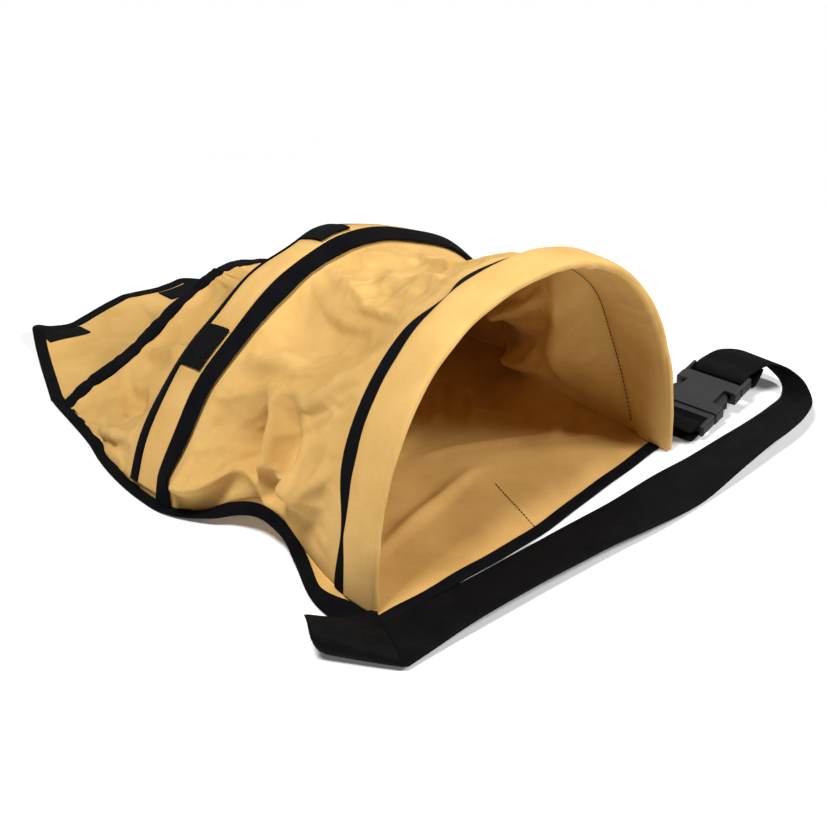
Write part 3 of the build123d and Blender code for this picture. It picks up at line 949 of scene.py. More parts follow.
    @staticmethod
    def weights(part: Points) -> tuple[Points, Points, Points, Points]:
        """Weights of four neighbours for a place between the middle two."""
        return (
            (-part + 2.0 * part**2 - part**3) / 2.0,
            (2.0 - 5.0 * part**2 + 3.0 * part**3) / 2.0,
            (part + 4.0 * part**2 - 3.0 * part**3) / 2.0,
            (part**3 - part**2) / 2.0,
        )

    def point(self, down: Points, share: Points, lift: float | Points = 0.0) -> Points:
        """Points of the settled front.

        Args:
            down: Places down the bag.
            share: Places along the arch.
            lift: Distance outwards from the cloth's face.

        Returns:
            One point for each place.
        """
        step, down_step = 0.006, 0.003
        over = self.read(down, share + step) - self.read(down, share - step)
        on = self.read(down + down_step, share) - self.read(down - down_step, share)
        outward = unit(np.cross(over, on))
        return self.read(down, share) + outward * np.broadcast_to(lift, down.shape)[..., None]

    def sheet(self, name: str, faces: tuple[int, int], shares: tuple[float, float],
              start: Callable[[Points], Points], end: Callable[[Points], Points],
              lift: Callable[[Points, Points], Points]) -> bpy.types.Object:
        """A sheet that lies on the front.

        Args:
            name: Name of the new object.
            faces: Number of faces across and along.
            shares: Places along the arch where it starts and ends.
            start: Down the bag of its upper edge, by share.
            end: Down the bag of its lower edge, by share.
            lift: Distance outwards, by the sheet's own shares across and along.

        Returns:
            The new mesh object.
        """
        def place(first: Points, second: Points) -> Pair:
            """Gives the corners their places.

            Args:
                first: Shares across.
                second: Shares along.

            Returns:
                Points and map places.
            """
            share = shares[0] + (shares[1] - shares[0]) * first
            top = start(share)
            down = top + (end(share) - top) * second
            lengths = np.stack((share * self.ARC, down), axis=1)
            return self.point(down, share, lift(first, second)), lengths

        return grid_sheet(name, *faces, place)


@dataclass
class FrontCloth:
    """The arched canvas: front panel, chute panel and the closure band on it."""

    sizes: BagSizes
    shape: FrontShape
    workshop: Workshop
    band_lift: float = 0.0022
    band_stand: float = 0.0016
    under_sleeve: float = 0.004
    under_tape: float = 0.004
    hem_wave: float = 0.006
    hem_ripple: float = 0.003

    # Places along the arch where the closure band starts and ends
    BAND_SHARES = (0.02, 0.98)

    def hem(self, share: Points) -> Points:
        """Down the bag of the chute's wavy hem."""
        wave = self.hem_wave * np.sin(7.0 * math.pi * share + 0.6) + self.hem_ripple * np.sin(17.0 * share)
        return self.sizes.hem_down + wave * np.sin(math.pi * share)

    def level(self, height: float) -> Callable[[Points, Points], Points]:
        """A lift that is the same all over a sheet."""
        return lambda first, second: np.full_like(first, height)

    def steady(self, down: float) -> Callable[[Points], Points]:
        """An edge that keeps its place down the bag."""
        return lambda share: np.full_like(share, down)

    def build(self) -> None:
        """Makes the three cloths."""
        front_top = self.steady(self.sizes.seam_down - self.under_sleeve)
        front = self.shape.sheet("front_panel_cloth", (186, 65), (0.0, 1.0), front_top,
                                 self.steady(self.sizes.cross_down), self.level(0.0))
        thicken(front, self.sizes.cloth)
        self.workshop.dress(front, Slot.CANVAS, "front_panel")
        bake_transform(front)
        chute = self.shape.sheet("chute_panel_cloth", (150, 66), (0.0, 1.0), self.steady(self.sizes.cross_down),
                                 self.hem, self.level(0.0))
        thicken(chute, self.sizes.cloth)
        self.workshop.dress(chute, Slot.CANVAS, "chute_panel")
        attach(chute, Body.BAG.value)
        band_top = self.steady(self.sizes.cross_down + self.under_tape)
        band = self.shape.sheet("closure_band_cloth", (130, 10), self.BAND_SHARES, band_top,
                                self.steady(self.sizes.band_down), self.band_rise)
        thicken(band, self.sizes.cloth)
        self.workshop.dress(band, Slot.CANVAS, "closure_band")
        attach(band, Body.BAG.value)

    def band_rise(self, first: Points, second: Points) -> Points:
        """Lift of the closure band over the chute, more at its free edge."""
        return self.band_lift + self.band_stand * second


@dataclass
class FrontTapes:
    """Black tapes on the arched front: cross seam, hoop seam, band edge, hem, and the band's patches."""

    sizes: BagSizes
    shape: FrontShape
    cloth: FrontCloth
    workshop: Workshop
    cross_width: float = 0.0155
    seam_width: float = 0.0165
    band_binding: float = 0.011
    hem_binding: float = 0.016
    tape: float = 0.001
    patch_length: float = 0.036
    patch_width: float = 0.024
    patch_pile: float = 0.002
    patch_lift: float = 0.0056
    cross_lift: float = 0.0042
    band_thickness: float = 0.0026
    band_lift: float = 0.0034
    hem_thickness: float = 0.0038
    hem_inset: float = 0.006
    seam_lap: float = 0.003
    seam_tuck: float = 0.0045
    seam_lift: float = 0.0022
    seam_drop: float = 0.0014
    patch_up: float = 0.001

    # Name of each loop patch and its place along the arch
    PATCHES = (("band_patch_left", 0.243), ("band_patch_right", 0.502))

    def on_edge(self, name: str, line: Callable[[Points], Points], width: float, thickness: float,
                lift: float, shares: tuple[float, float], steps: int) -> bpy.types.Object:
        """A binding folded over a free edge of the front.

        Args:
            name: Name of the new object.
            line: Down the bag of the binding's middle, by share.
            width: Binding width.
            thickness: Thickness of the folded binding.
            lift: Distance of its middle from the cloth's face.
            shares: Places along the arch where it starts and ends.
            steps: Number of faces along it.

        Returns:
            The new mesh object.
        """
        share = np.linspace(*shares, steps + 1)
        down = line(share)
        centres = self.shape.point(down, share, lift)
        upper = self.shape.point(down - width / 2.0, share, lift)
        lower = self.shape.point(down + width / 2.0, share, lift)
        sides = unit(lower - upper) * width / 2.0
        along = np.gradient(centres, axis=0)
        outs = unit(np.cross(along, sides)) * thickness / 2.0
        return Ribbon(name, centres, sides, outs).build()

    def seam_tape_end(self, share: Points) -> Points:
        """Lower edge of the hoop's seam tape, which the cloth covers on the left shoulder and at the left foot."""
        covered = 0.8 * hump(share, 0.40, 0.035) + 0.75 * hump(share, 0.05, 0.05)
        return self.sizes.seam_down - self.seam_lap + self.seam_width * (1.0 - covered)

    def seam_tape_lift(self, first: Points, second: Points) -> Points:
        """Lift of the hoop's seam tape over the cloth, less on the right half."""
        return self.seam_lift - self.seam_drop * eased(0.45, 0.55, first)

    def build(self) -> None:
        """Makes the tapes and the band's patches."""
        steady = self.cloth.steady
        level = self.cloth.level
        half = self.cross_width / 2.0
        cross = self.shape.sheet("cross_tape", (170, 6), (0.0, 1.0), steady(self.sizes.cross_down - half),
                                 steady(self.sizes.cross_down + half), level(self.cross_lift))
        thicken(cross, 2.0 * self.tape)
        self.workshop.dress(cross, Slot.TAPE, "front_cross_tape")
        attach(cross, Body.BAG.value)
        seam_top = steady(self.sizes.seam_down - self.seam_tuck)
        seam = self.shape.sheet("hoop_seam_tape_cloth", (200, 5), (0.0, 1.0), seam_top, self.seam_tape_end,
                                self.seam_tape_lift)
        thicken(seam, self.tape)
        self.workshop.dress(seam, Slot.TAPE, "hoop_seam_tape")
        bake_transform(seam)
        band = self.on_edge("closure_band_edge", steady(self.sizes.band_down), self.band_binding,
                            self.band_thickness, self.band_lift, self.cloth.BAND_SHARES, 170)
        self.workshop.dress(band, Slot.TAPE, "closure_band_binding")
        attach(band, Body.BAG.value)
        hem = self.on_edge("chute_hem_edge", lambda share: self.cloth.hem(share) - self.hem_inset, self.hem_binding,
                           self.hem_thickness, -self.sizes.cloth / 2.0, (0.004, 0.996), 200)
        self.workshop.dress(hem, Slot.TAPE, "chute_hem_binding")
        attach(hem, Body.BAG.value)
        for name, share in self.PATCHES:
            reach = self.patch_length / self.shape.ARC / 2.0
            middle = (self.sizes.cross_down + half + self.sizes.band_down) / 2.0 - self.patch_up
            patch = self.shape.sheet(name + "_pile", (24, 14), (share - reach, share + reach),
                                     steady(middle - self.patch_width / 2.0), steady(middle + self.patch_width / 2.0),
                                     level(self.patch_lift))
            thicken(patch, self.patch_pile)
            self.workshop.dress(patch, Slot.PILE, name)
            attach(patch, Body.BAG.value)


@dataclass
class BackCloth:
    """The flat canvas that the bag lies on, with the flap, their bindings and the hook patches."""

    sizes: BagSizes
    shape: FrontShape
    workshop: Workshop
    folds: Sequence[Fold]
    binding: float = 0.011
    binding_thickness: float = 0.0026
    flap_fold_half: float = 0.1415
    flap_end_half: float = 0.082
    patch_length: float = 0.042
    patch_width: float = 0.020
    patch_spacing: float = 0.138
    tuck: float = 0.012
    flare: float = 0.016
    turn_up: float = 0.035
    lap: float = 0.001
    cut_rows: int = 6
    flare_reach: float = 0.06
    right_lap: float = 0.0014
    bulge: float = 0.35
    still_edge: float = 0.03
    ripple_height: float = 0.0006
    under_binding: float = 0.004
    corner_gap: float = 0.002
    tip_angle: float = 62.0
    foot_extra: float = 0.007
    foot_reach: float = 0.045
    meet_reach: float = 0.06
    end_wave: float = 0.0026
    end_drawn: float = 0.009
    corner_curl: float = 0.011
    flap_crease: float = 0.004
    flap_lift: float = 0.0004
    fold_gap: float = 0.0004
    patch_inset: float = 0.004
    patch_lift: float = 0.0016
    patch_pile: float = 0.0014
    seam_ends: dict[Side, Points] = field(default_factory=dict)

    # How far each side binding laps over its seam
    OVERLAP = {Side.LEFT: 0.002, Side.RIGHT: -0.0015}
    # How far the mouth edge stands out past the mouth line, from the left corner to the right
    LIP = ((0.0, 0.0275), (0.22, 0.0278), (0.46, 0.0268), (0.68, 0.0172), (0.88, 0.0088), (1.0, 0.004))

    def lip_down(self, share: Points) -> Points:
        """Down the bag of the mouth edge, which is negative past the mouth line."""
        return -along_table(self.LIP, share)

    def flare_at(self, down: Points) -> Points:
        """How far the left edge stands out past the hoop's foot."""
        return self.flare * (1.0 - eased(0.015, 0.090, down))

    def panel_point(self, down: Points, share: Points) -> Points:
        """Top face of the back panel; its sides rise to the lifted side seams.

        Args:
            down: Places down the bag.
            share: Places across, from 0 at the left seam to 1 at the right.

        Returns:
            One point for each place.
        """
        left_x, left_z = self.shape.left.at(down)
        right_x, right_z = self.shape.right.at(down)
        width = right_x - left_x
        from_left = share * width
        from_right = (1.0 - share) * width
        floor = self.sizes.cloth
        rise_left = np.maximum(left_z - floor, 0.0)
        rise_right = np.maximum(right_z - floor, 0.0) + self.right_lap * eased(0.002, 0.008, right_z)
        x = left_x + from_left - self.flare_at(down) * (1.0 - eased(0.0, self.flare_reach, from_left))
        z = np.full_like(x, floor)
        inside = np.ones_like(x)
        for side, rise, inwards in ((Side.LEFT, rise_left, from_left), (Side.RIGHT, rise_right, from_right)):
            x = x + side.value * rise * self.bulge * np.sin(math.pi * np.clip(inwards / self.still_edge, 0.0, 1.0))
            z = z + rise * (1.0 - eased(0.0, self.turn_up, inwards))
            inside = inside * eased(0.0, self.still_edge, inwards)
        inside = inside * eased(0.008, self.still_edge, down - self.lip_down(share))
        lift = np.maximum(heights(self.folds, down, x), 0.0)
        z = z + lift * inside + self.ripple_height * (1.0 + ripple(x, down, 0.06, 9)) * inside
        return np.stack((x, self.sizes.y_at(down), z), axis=-1)

    def build(self) -> None:
        """Makes the panel, its bindings and the flap."""
        def place(first: Points, second: Points) -> Pair:
            """Gives the corners their places.

            Args:
                first: Shares across.
                second: Shares along.

            Returns:
                Points and map places.
            """
            start = self.lip_down(first) + self.under_binding
            down = start + (self.sizes.fold_down - start) * second
            flat = 1.0 - eased(0.002, 0.006, self.shape.left.at(down)[1])
            across = first + self.tuck * np.where(first < 0.5, flat, 1.0) * (2.0 * first - 1.0)
            points = self.panel_point(down, across)
            return points, np.stack((points[:, 0], down), axis=1)

        panel = grid_sheet("back_panel_cloth", 104, 114, place)
        thicken(panel, self.sizes.cloth)
        self.workshop.dress(panel, Slot.CANVAS, "back_panel")
        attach(panel, Body.BAG.value)
        self.build_mouth_binding()
        for side in Side:
            self.build_side_binding(side)
        self.build_flap()

    def build_mouth_binding(self) -> None:
        """Binding along the mouth edge of the panel."""
        steps = 120
        share = np.linspace(0.0, 1.0, steps + 1)
        down = self.lip_down(share) + self.binding / 2.0
        centres = self.panel_point(down, share)
        wave = self.ripple_height * (1.0 + ripple(centres[:, 0], down, 0.07, 3))
        centres[:, 2] = self.binding_thickness / 2.0 + wave
        along = unit(np.gradient(centres, axis=0))
        outs = np.tile((0.0, 0.0, self.binding_thickness / 2.0), (steps + 1, 1))
        sides = unit(np.cross(outs, along)) * self.binding / 2.0
        piece = Ribbon("mouth_edge", centres, sides, outs).build()
        self.workshop.dress(piece, Slot.TAPE, "mouth_binding")
        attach(piece, Body.BAG.value)

    def build_side_binding(self, side: Side) -> None:
        """Binding along one side seam, which turns up where the seam is lifted."""
        on_left = side is Side.LEFT
        seam = self.shape.left if on_left else self.shape.right
        corner = self.lip_down(np.array((0.0 if on_left else 1.0,)))[0]
        down = np.linspace(corner + self.corner_gap, self.sizes.fold_down, 181)
        x, z = seam.at(down)
        half = np.full_like(down, self.binding / 2.0)
        if on_left:
            x = x - self.flare_at(down)
            half = half + self.foot_extra * (1.0 - eased(0.0, self.foot_reach, down))
        tip = np.radians(self.tip_angle) * eased(0.003, 0.02, z)
        out = np.stack((side.value * np.cos(tip), np.zeros_like(tip), -np.sin(tip)), axis=1)
        past = self.binding - self.OVERLAP[side] - half
        centres = np.stack((x, self.sizes.y_at(down), z), axis=1) + out * past[:, None]
        centres[:, 2] = np.maximum(centres[:, 2], self.binding_thickness / 2.0)
        along = unit(np.gradient(centres, axis=0))
        sides = unit(out - along * np.sum(out * along, axis=1)[:, None]) * half[:, None]
        self.cut_along_fold(sides, range(-1, -1 - self.cut_rows, -1))
        self.seam_ends[side] = centres[-1]
        outs = unit(np.cross(along, sides)) * self.binding_thickness / 2.0
        piece = Ribbon(f"side_edge_{side.name.lower()}", centres, sides, outs).build()
        self.workshop.dress(piece, Slot.TAPE, f"side_binding_{side.name.lower()}")
        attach(piece, Body.BAG.value)

    @staticmethod
    def cut_along_fold(sides: Points, rows: Sequence[int]) -> None:
        """Turns a binding's end so that it is cut along the fold line.

        Args:
            sides: Half widths across the binding, changed in place.
            rows: Its last rows, from the cut end inwards.
        """
        for step, row in enumerate(rows):
            cut = np.array((np.sum(sides[row] ** 2) / sides[row][0], 0.0, 0.0))
            sides[row] = sides[row] + (cut - sides[row]) * (1.0 - step / len(rows))

    def flap_half(self, down: Points, side: Side) -> Points:
        """Half width of the flap's cloth on one side, which meets the side binding at the fold."""
        share = (down - self.sizes.fold_down) / (self.sizes.flap_end - self.binding - self.sizes.fold_down)
        half = self.flap_fold_half + (self.flap_end_half - self.flap_fold_half) * share
        middle = self.sizes.middle_at(np.array((self.sizes.fold_down,)))[0]
        meets = side.value * (self.seam_ends[side][0] - middle) - self.binding / 2.0 + self.lap
        return half + (meets - self.flap_fold_half) * (1.0 - eased(0.0, self.meet_reach, down - self.sizes.fold_down))

    def flap_point(self, down: Points, across: Points) -> Points:
        """Top face of the flap, with its wavy end and curled left corner."""
        x = self.sizes.middle_at(down) + across
        past = down - self.sizes.fold_down
        length = self.sizes.flap_end - self.sizes.fold_down
        share = past / length
        wave = self.end_wave * (1.0 + np.sin(across / 0.016 + 0.6)) * eased(0.3, 1.0, share)
        corner = eased(0.070, 0.10, -across) * eased(0.7, 1.0, share)
        drawn = self.end_drawn * hump(across, -0.056, 0.024) * eased(0.4, 1.0, share)
        ridge = hump(across, 0.03 * share - 0.012, 0.007)
        crease = self.flap_crease * ridge * np.sin(math.pi * np.clip(share, 0.0, 1.0))
        z = self.sizes.cloth + self.flap_lift + wave + self.corner_curl * corner + crease
        return np.stack((x, self.sizes.y_at(down) - drawn, z), axis=-1)

    def build_flap(self) -> None:
        """The flap with its binding and hook patches."""
        start = self.sizes.fold_down - self.fold_gap
        end = self.sizes.flap_end - self.binding

        def place(first: Points, second: Points) -> Pair:
            """Gives the corners their places.

            Args:
                first: Shares across.
                second: Shares along.

            Returns:
                Points and map places.
            """
            down = start + (end - start) * second
            left, right = (self.flap_half(down, side) for side in (Side.LEFT, Side.RIGHT))
            across = (left + right) * first - left
            return self.flap_point(down, across), np.stack((across, down), axis=1)

        flap = grid_sheet("bottom_flap_cloth", 80, 40, place)
        thicken(flap, self.sizes.cloth)
        self.workshop.dress(flap, Slot.CANVAS, "bottom_flap")
        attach(flap, Body.FLAP.value)
        self.build_flap_binding(start, end)
        for side in Side:
            middle = side.value * self.patch_spacing / 2.0
            far = end - self.patch_inset

            def on_patch(first: Points, second: Points) -> Pair:
                """Gives the corners their places.

                Args:
                    first: Shares across.
                    second: Shares along.

                Returns:
                    Points and map places.
                """
                down = far - self.patch_width * (1.0 - second)
                across = middle + (first - 0.5) * self.patch_length
                points = self.flap_point(down, across) + np.array((0.0, 0.0, self.patch_lift))
                return points, np.stack((across, down), axis=1)

            patch = grid_sheet(f"flap_patch_{side.name.lower()}_pile", 24, 12, on_patch)
            thicken(patch, self.patch_pile)
            self.workshop.dress(patch, Slot.PILE, f"flap_patch_{side.name.lower()}")
            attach(patch, Body.FLAP.value)

    def build_flap_binding(self, start: float, end: float) -> None:
        """Binding round the three free edges of the flap."""
        reach = self.binding / 2.0 - self.lap
        down_side = np.linspace(start, end, 40)
        left = np.stack((down_side, -self.flap_half(down_side, Side.LEFT) - reach), axis=1)
        across_end = np.linspace(-self.flap_end_half, self.flap_end_half, 60)
        far = np.stack((np.full_like(across_end, end + reach), across_end), axis=1)
        right = np.stack((down_side[::-1], self.flap_half(down_side[::-1], Side.RIGHT) + reach), axis=1)
        route = np.concatenate((left, far, right))
        walked = run_length(route)
        route = curve_through(walked, route, np.linspace(0.0, walked[-1], 240))
        centres = self.flap_point(route[:, 0], route[:, 1]) - np.array((0.0, 0.0, self.sizes.cloth / 2.0))
        centres[:, 2] = np.maximum(centres[:, 2], self.binding_thickness / 2.0)
        along = unit(np.gradient(centres, axis=0))
        sides = unit(np.cross(along, np.array((0.0, 0.0, 1.0)))) * self.binding / 2.0
        self.cut_along_fold(sides, range(self.cut_rows))
        self.cut_along_fold(sides, range(-1, -1 - self.cut_rows, -1))
        outs = unit(np.cross(sides, along)) * self.binding_thickness / 2.0
        piece = Ribbon("flap_edge", centres, sides, outs).build()
        self.workshop.dress(piece, Slot.TAPE, "flap_binding")
        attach(piece, Body.FLAP.value)


@dataclass
class MouthHoop:
    """The padded canvas sleeve round the mouth, its inner facing and its strip."""

    sizes: BagSizes
    shape: FrontShape
    workshop: Workshop
    puff: float = 0.004
    fullness: tuple[float, float] = (2.4, 2.16)
    right_in: float = 0.006
    rim_proud: float = 0.006
    facing_cloth: float = 0.001
    wobble_across: float = 0.0004
    wobble_out: float = 0.0002
    strip_width: float = 0.022
    strip_thickness: float = 0.0012
    pucker_height: float = 0.0016
    mouth_station: float = 0.012
    facing_station: float = 0.010

    # Inner facing: share from the rim to its seam, and its distance inwards from the front's smooth arch
    FACING = ((0.0, 0.0012), (0.03, 0.0045), (0.13, 0.0064), (0.33, 0.0076), (0.57, 0.0070), (0.80, 0.0048),
              (1.0, 0.0030))
    # Its seam: share along the arch, down the bag
    FACING_SEAM = ((0.0, 0.030), (0.07, 0.038), (0.25, 0.043), (0.60, 0.041), (0.74, 0.038), (0.85, 0.043),
                   (0.93, 0.037), (1.0, 0.0265))

    def build(self) -> None:
        """Makes the sleeve with the strip inside it, and its facing."""
        self.build_sleeve()
        self.build_facing()

    def puckers(self, share: Points) -> Points:
        """Short gathers of the cloth round the arch, strongest right of the crown."""
        gathered = 0.15 + hump(share, 0.66, 0.12)
        return gathered * (1.0 - 2.0 * np.abs(np.sin(48.0 * share + 3.0 * np.sin(23.0 * share))))

    def build_sleeve(self) -> None:
        """The padded tube of canvas that holds the strip."""
        steps = 300
        turn = np.linspace(0.0, 1.0, steps + 1)
        on_left = turn < 0.5
        power = 2.0 / np.where(on_left, *self.fullness)
        half = self.sizes.mouth_half - self.puff - np.where(on_left, 0.0, self.right_in)
        top = self.sizes.hoop_top - self.puff
        foot = self.sizes.hoop_foot
        angle = math.pi * turn
        x = -half * signed_power(np.cos(angle), power)
        z = foot + (top - foot) * np.clip(np.sin(angle), 0.0, 1.0) ** power
        rim = self.sizes.hoop_front - self.rim_proud
        band = self.sizes.hoop_back - rim
        centres = np.stack((x, np.full_like(x, rim + band / 2.0), z), axis=1)
        walked = run_length(centres)
        even = curve_through(walked, centres, np.linspace(0.0, walked[-1], steps + 1))
        along = unit(np.gradient(even, axis=0))
        lie = np.tile((0.0, 1.0, 0.0), (steps + 1, 1))
        outs = unit(np.cross(along, lie)) * -1.0
        wobble = ripple(np.linspace(0.0, walked[-1], steps + 1), np.zeros(steps + 1), 0.06, 12)
        sides = lie * (band / 2.0 + self.wobble_across * wobble)[:, None]
        outs = outs * (self.puff + self.wobble_out * wobble)[:, None]
        sleeve = Ribbon("hoop_sleeve_cloth", even, sides, outs, around=32, squareness=3.2).build()
        self.workshop.dress(sleeve, Slot.CANVAS, "hoop_sleeve")
        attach(sleeve, Body.HOOP.value)
        strip_sides = lie * (self.strip_width / 2.0)
        strip = Ribbon("hoop_strip", even, strip_sides, unit(outs) * (self.strip_thickness / 2.0)).build()
        self.workshop.dress(strip, Slot.STRIP, "hoop_core")
        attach(strip, Body.HOOP.value)

    def rim_down(self) -> float:
        """Down the bag of the sleeve's rim, which is negative past the mouth line."""
        return self.sizes.hoop_front - self.rim_proud - self.sizes.y_at(0.0)

    def seam_at(self, share: Points) -> Points:
        """Down the bag of the facing's seam."""
        return along_table(self.FACING_SEAM, share)

    def facing_point(self, part: Points, share: Points, lift: float = 0.0) -> Points:
        """Points of the inner facing.

        Args:
            part: Places from the rim, 0, to the facing's seam, 1.
            share: Places along the arch.
            lift: Distance further inwards.

        Returns:
            One point for each place.
        """
        inwards = along_table(self.FACING, part) + lift
        gathers = self.pucker_height * self.puckers(share)
        inwards = inwards + gathers * eased(0.0, 0.12, part) * (1.0 - eased(0.25, 1.0, part))
        rim = self.rim_down()
        down = rim + (self.seam_at(share) - rim) * part
        smooth = self.shape.bare(np.maximum(down, self.mouth_station), share)
        smooth[..., 1] = self.sizes.y_at(down)
        level = np.full_like(down, self.facing_station)
        return smooth - self.shape.normal(level, np.clip(share, 0.012, 0.988)) * inwards[..., None]

    def build_facing(self) -> None:
        """The inner side of the sleeve's cloth, from the rim to its seam."""
        depth = float(self.seam_at(np.array(0.5))) - self.rim_down()

        def place(first: Points, second: Points) -> Pair:
            """Gives the corners their places.

            Args:
                first: Shares across.
                second: Shares along.

            Returns:
                Points and map places.
            """
            share = 0.004 + 0.992 * first
            return self.facing_point(second, share), np.stack((share * self.shape.ARC, depth * second), axis=1)

        facing = grid_sheet("hoop_facing_cloth", 300, 22, place)
        thicken(facing, self.facing_cloth, offset=1.0)
        self.workshop.dress(facing, Slot.CANVAS)
        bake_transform(facing)


@dataclass
class Stitching:
    """Rows of thread stitches."""

    sizes: BagSizes
    shape: FrontShape
    workshop: Workshop
    stitch: float = 0.0032
    gap: float = 0.0008
    thread: float = 0.0009

    def row(self, name: str, line: Points, outs: Points) -> bpy.types.Object:
        """A row of stitches along a line.

        Args:
            name: Name of the new object.
            line: Points along the row.
            outs: Outward direction of the cloth at each point.

        Returns:
            The new mesh object.
        """
        walked = run_length(line)
        count = int(walked[-1] / (self.stitch + self.gap))
        form = bmesh.new()
        form.loops.layers.uv.new(WEAVE_MAP)
        for index in range(count):
            middle = (index + 0.5) * (self.stitch + self.gap)
            ends = curve_through(walked, line, middle + np.array((-0.5, 0.0, 0.5)) * self.stitch)
            out = unit(curve_through(walked, outs, np.array((middle,))))[0]
            along = unit(ends[2] - ends[0])
            made = bmesh.ops.create_uvsphere(form, u_segments=8, v_segments=6, radius=1.0)["verts"]
            side = np.cross(out, along)
            for corner in made:
                spot = corner.co
                corner.co = Vector(ends[1] + along * (spot.z * self.stitch / 2.0)
                                   + side * (spot.x * self.thread / 2.0)
                                   + out * (spot.y * self.thread / 2.0))
        for face in form.faces:
            face.smooth = True
        bmesh.ops.recalc_face_normals(form, faces=form.faces)
        return placed(name, form)

    def build(self, back: BackCloth, hoop: MouthHoop) -> None:
        """Makes the dart's and the hoop's stitches."""
        low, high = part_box("dart_stitching")
        share = np.linspace(0.0, 1.0, 30)
        down = low.y - self.sizes.mouth_y + (high.y - low.y) * share
        x = low.x + 0.0005 + (high.x - low.x) * share
        left_x, _ = self.shape.left.at(down)
        right_x, _ = self.shape.right.at(down)
        line = back.panel_point(down, (x - left_x) / (right_x - left_x)) + np.array((0.0, 0.0, 0.0003))
        dart = self.row("dart_stitches", line, np.tile((0.0, 0.0, 1.0), (30, 1)))
        self.workshop.dress(dart, Slot.THREAD, "dart_stitching")
        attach(dart, Body.BAG.value)
        share = np.linspace(0.02, 0.985, 260)
        line = hoop.facing_point(np.full_like(share, 0.955), share, hoop.facing_cloth + 0.0004)
        inner = self.row("hoop_stitches", line, -self.shape.normal(np.full_like(share, 0.0185), share))
        self.workshop.dress(inner, Slot.THREAD, "hoop_stitching")
        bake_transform(inner)


@dataclass(frozen=True)
class Ruling:
    """A straight line across the belt: its middle from a corner of the mouth, the way across, the face's way."""

    middle: tuple[float, float, float]
    across: tuple[float, float, float]
    face: tuple[float, float, float]


@dataclass(frozen=True)
class BuckleFrame:
    """The buckle's own axes, from its plug's end towards the belt."""

    origin: Points
    along: Points
    across: Points
    up: Points

    @classmethod
    def from_record(cls, record: dict, sizes: BagSizes) -> "BuckleFrame":
        """Reads the axes from the buckle's joints."""
        axes = {joint["name"]: np.array(joint["axis"]) for joint in record["behaviour"]["joints"]}
        along = unit(axes["buckle_release"])
        up = -unit(axes["latch_left_squeeze"])
        origin = np.array((sizes.mouth_half + 0.0175, sizes.y_at(0.0065), 0.0096))
        return cls(origin, along, np.cross(up, along), up)

    def at(self, along: float, across: float, up: float) -> Points:
        """A point by its place on the buckle's axes."""
        return self.origin + self.along * along + self.across * across + self.up * up

    def way(self, along: float, up: float) -> Points:
        """A direction in the buckle's upright plane."""
        return self.along * along + self.up * up


@dataclass(frozen=True)
class Turnover:
    """A diagonal fold that lays the end of a flat strip back over it."""

    middle: tuple[float, float]
    heading: float
    radius: float
    cone: float
    base: float
    end_height: float
    slant: float

    def apply(self, points: Points, length: float) -> Points:
        """Rolls the part past the fold line over.

        Args:
            points: Points of the strip, which runs to the left along X at the fold.
            length: Length of the strip past the fold's middle.

        Returns:
            The points, with those past the fold line turned over.
        """
        turn = math.radians(self.heading)
        line = unit(np.array((math.sin(turn) - 1.0, math.cos(turn))))
        out = np.array((-line[1], line[0]))
        out = out * np.sign(-out[0])
        plan = points[:, :2] - np.array(self.middle)
        late = eased(0.35, 1.0, -plan[:, 0] / length)
        plan = plan + np.stack((self.slant * plan[:, 1] * late, np.zeros_like(late)), axis=1)
        past = plan @ out
        along = plan @ line
        radius = self.radius + self.cone * np.clip(along, -0.04, 0.04)
        angle = np.clip(past / radius, 0.0, math.pi)
        over = np.maximum(past - math.pi * radius, 0.0)
        reach = radius - (points[:, 2] - self.base)
        turned = reach * np.sin(angle) - over
        height = self.base + radius - reach * np.cos(angle)
        sink = (self.base + 2.0 * radius - self.end_height) * eased(0.0, 0.042, over)
        flat = np.outer(turned, out) + np.outer(along, line) + np.array(self.middle)
        moved = np.column_stack((flat, height - sink))
        return np.where((past > 0.0)[:, None], moved, points)


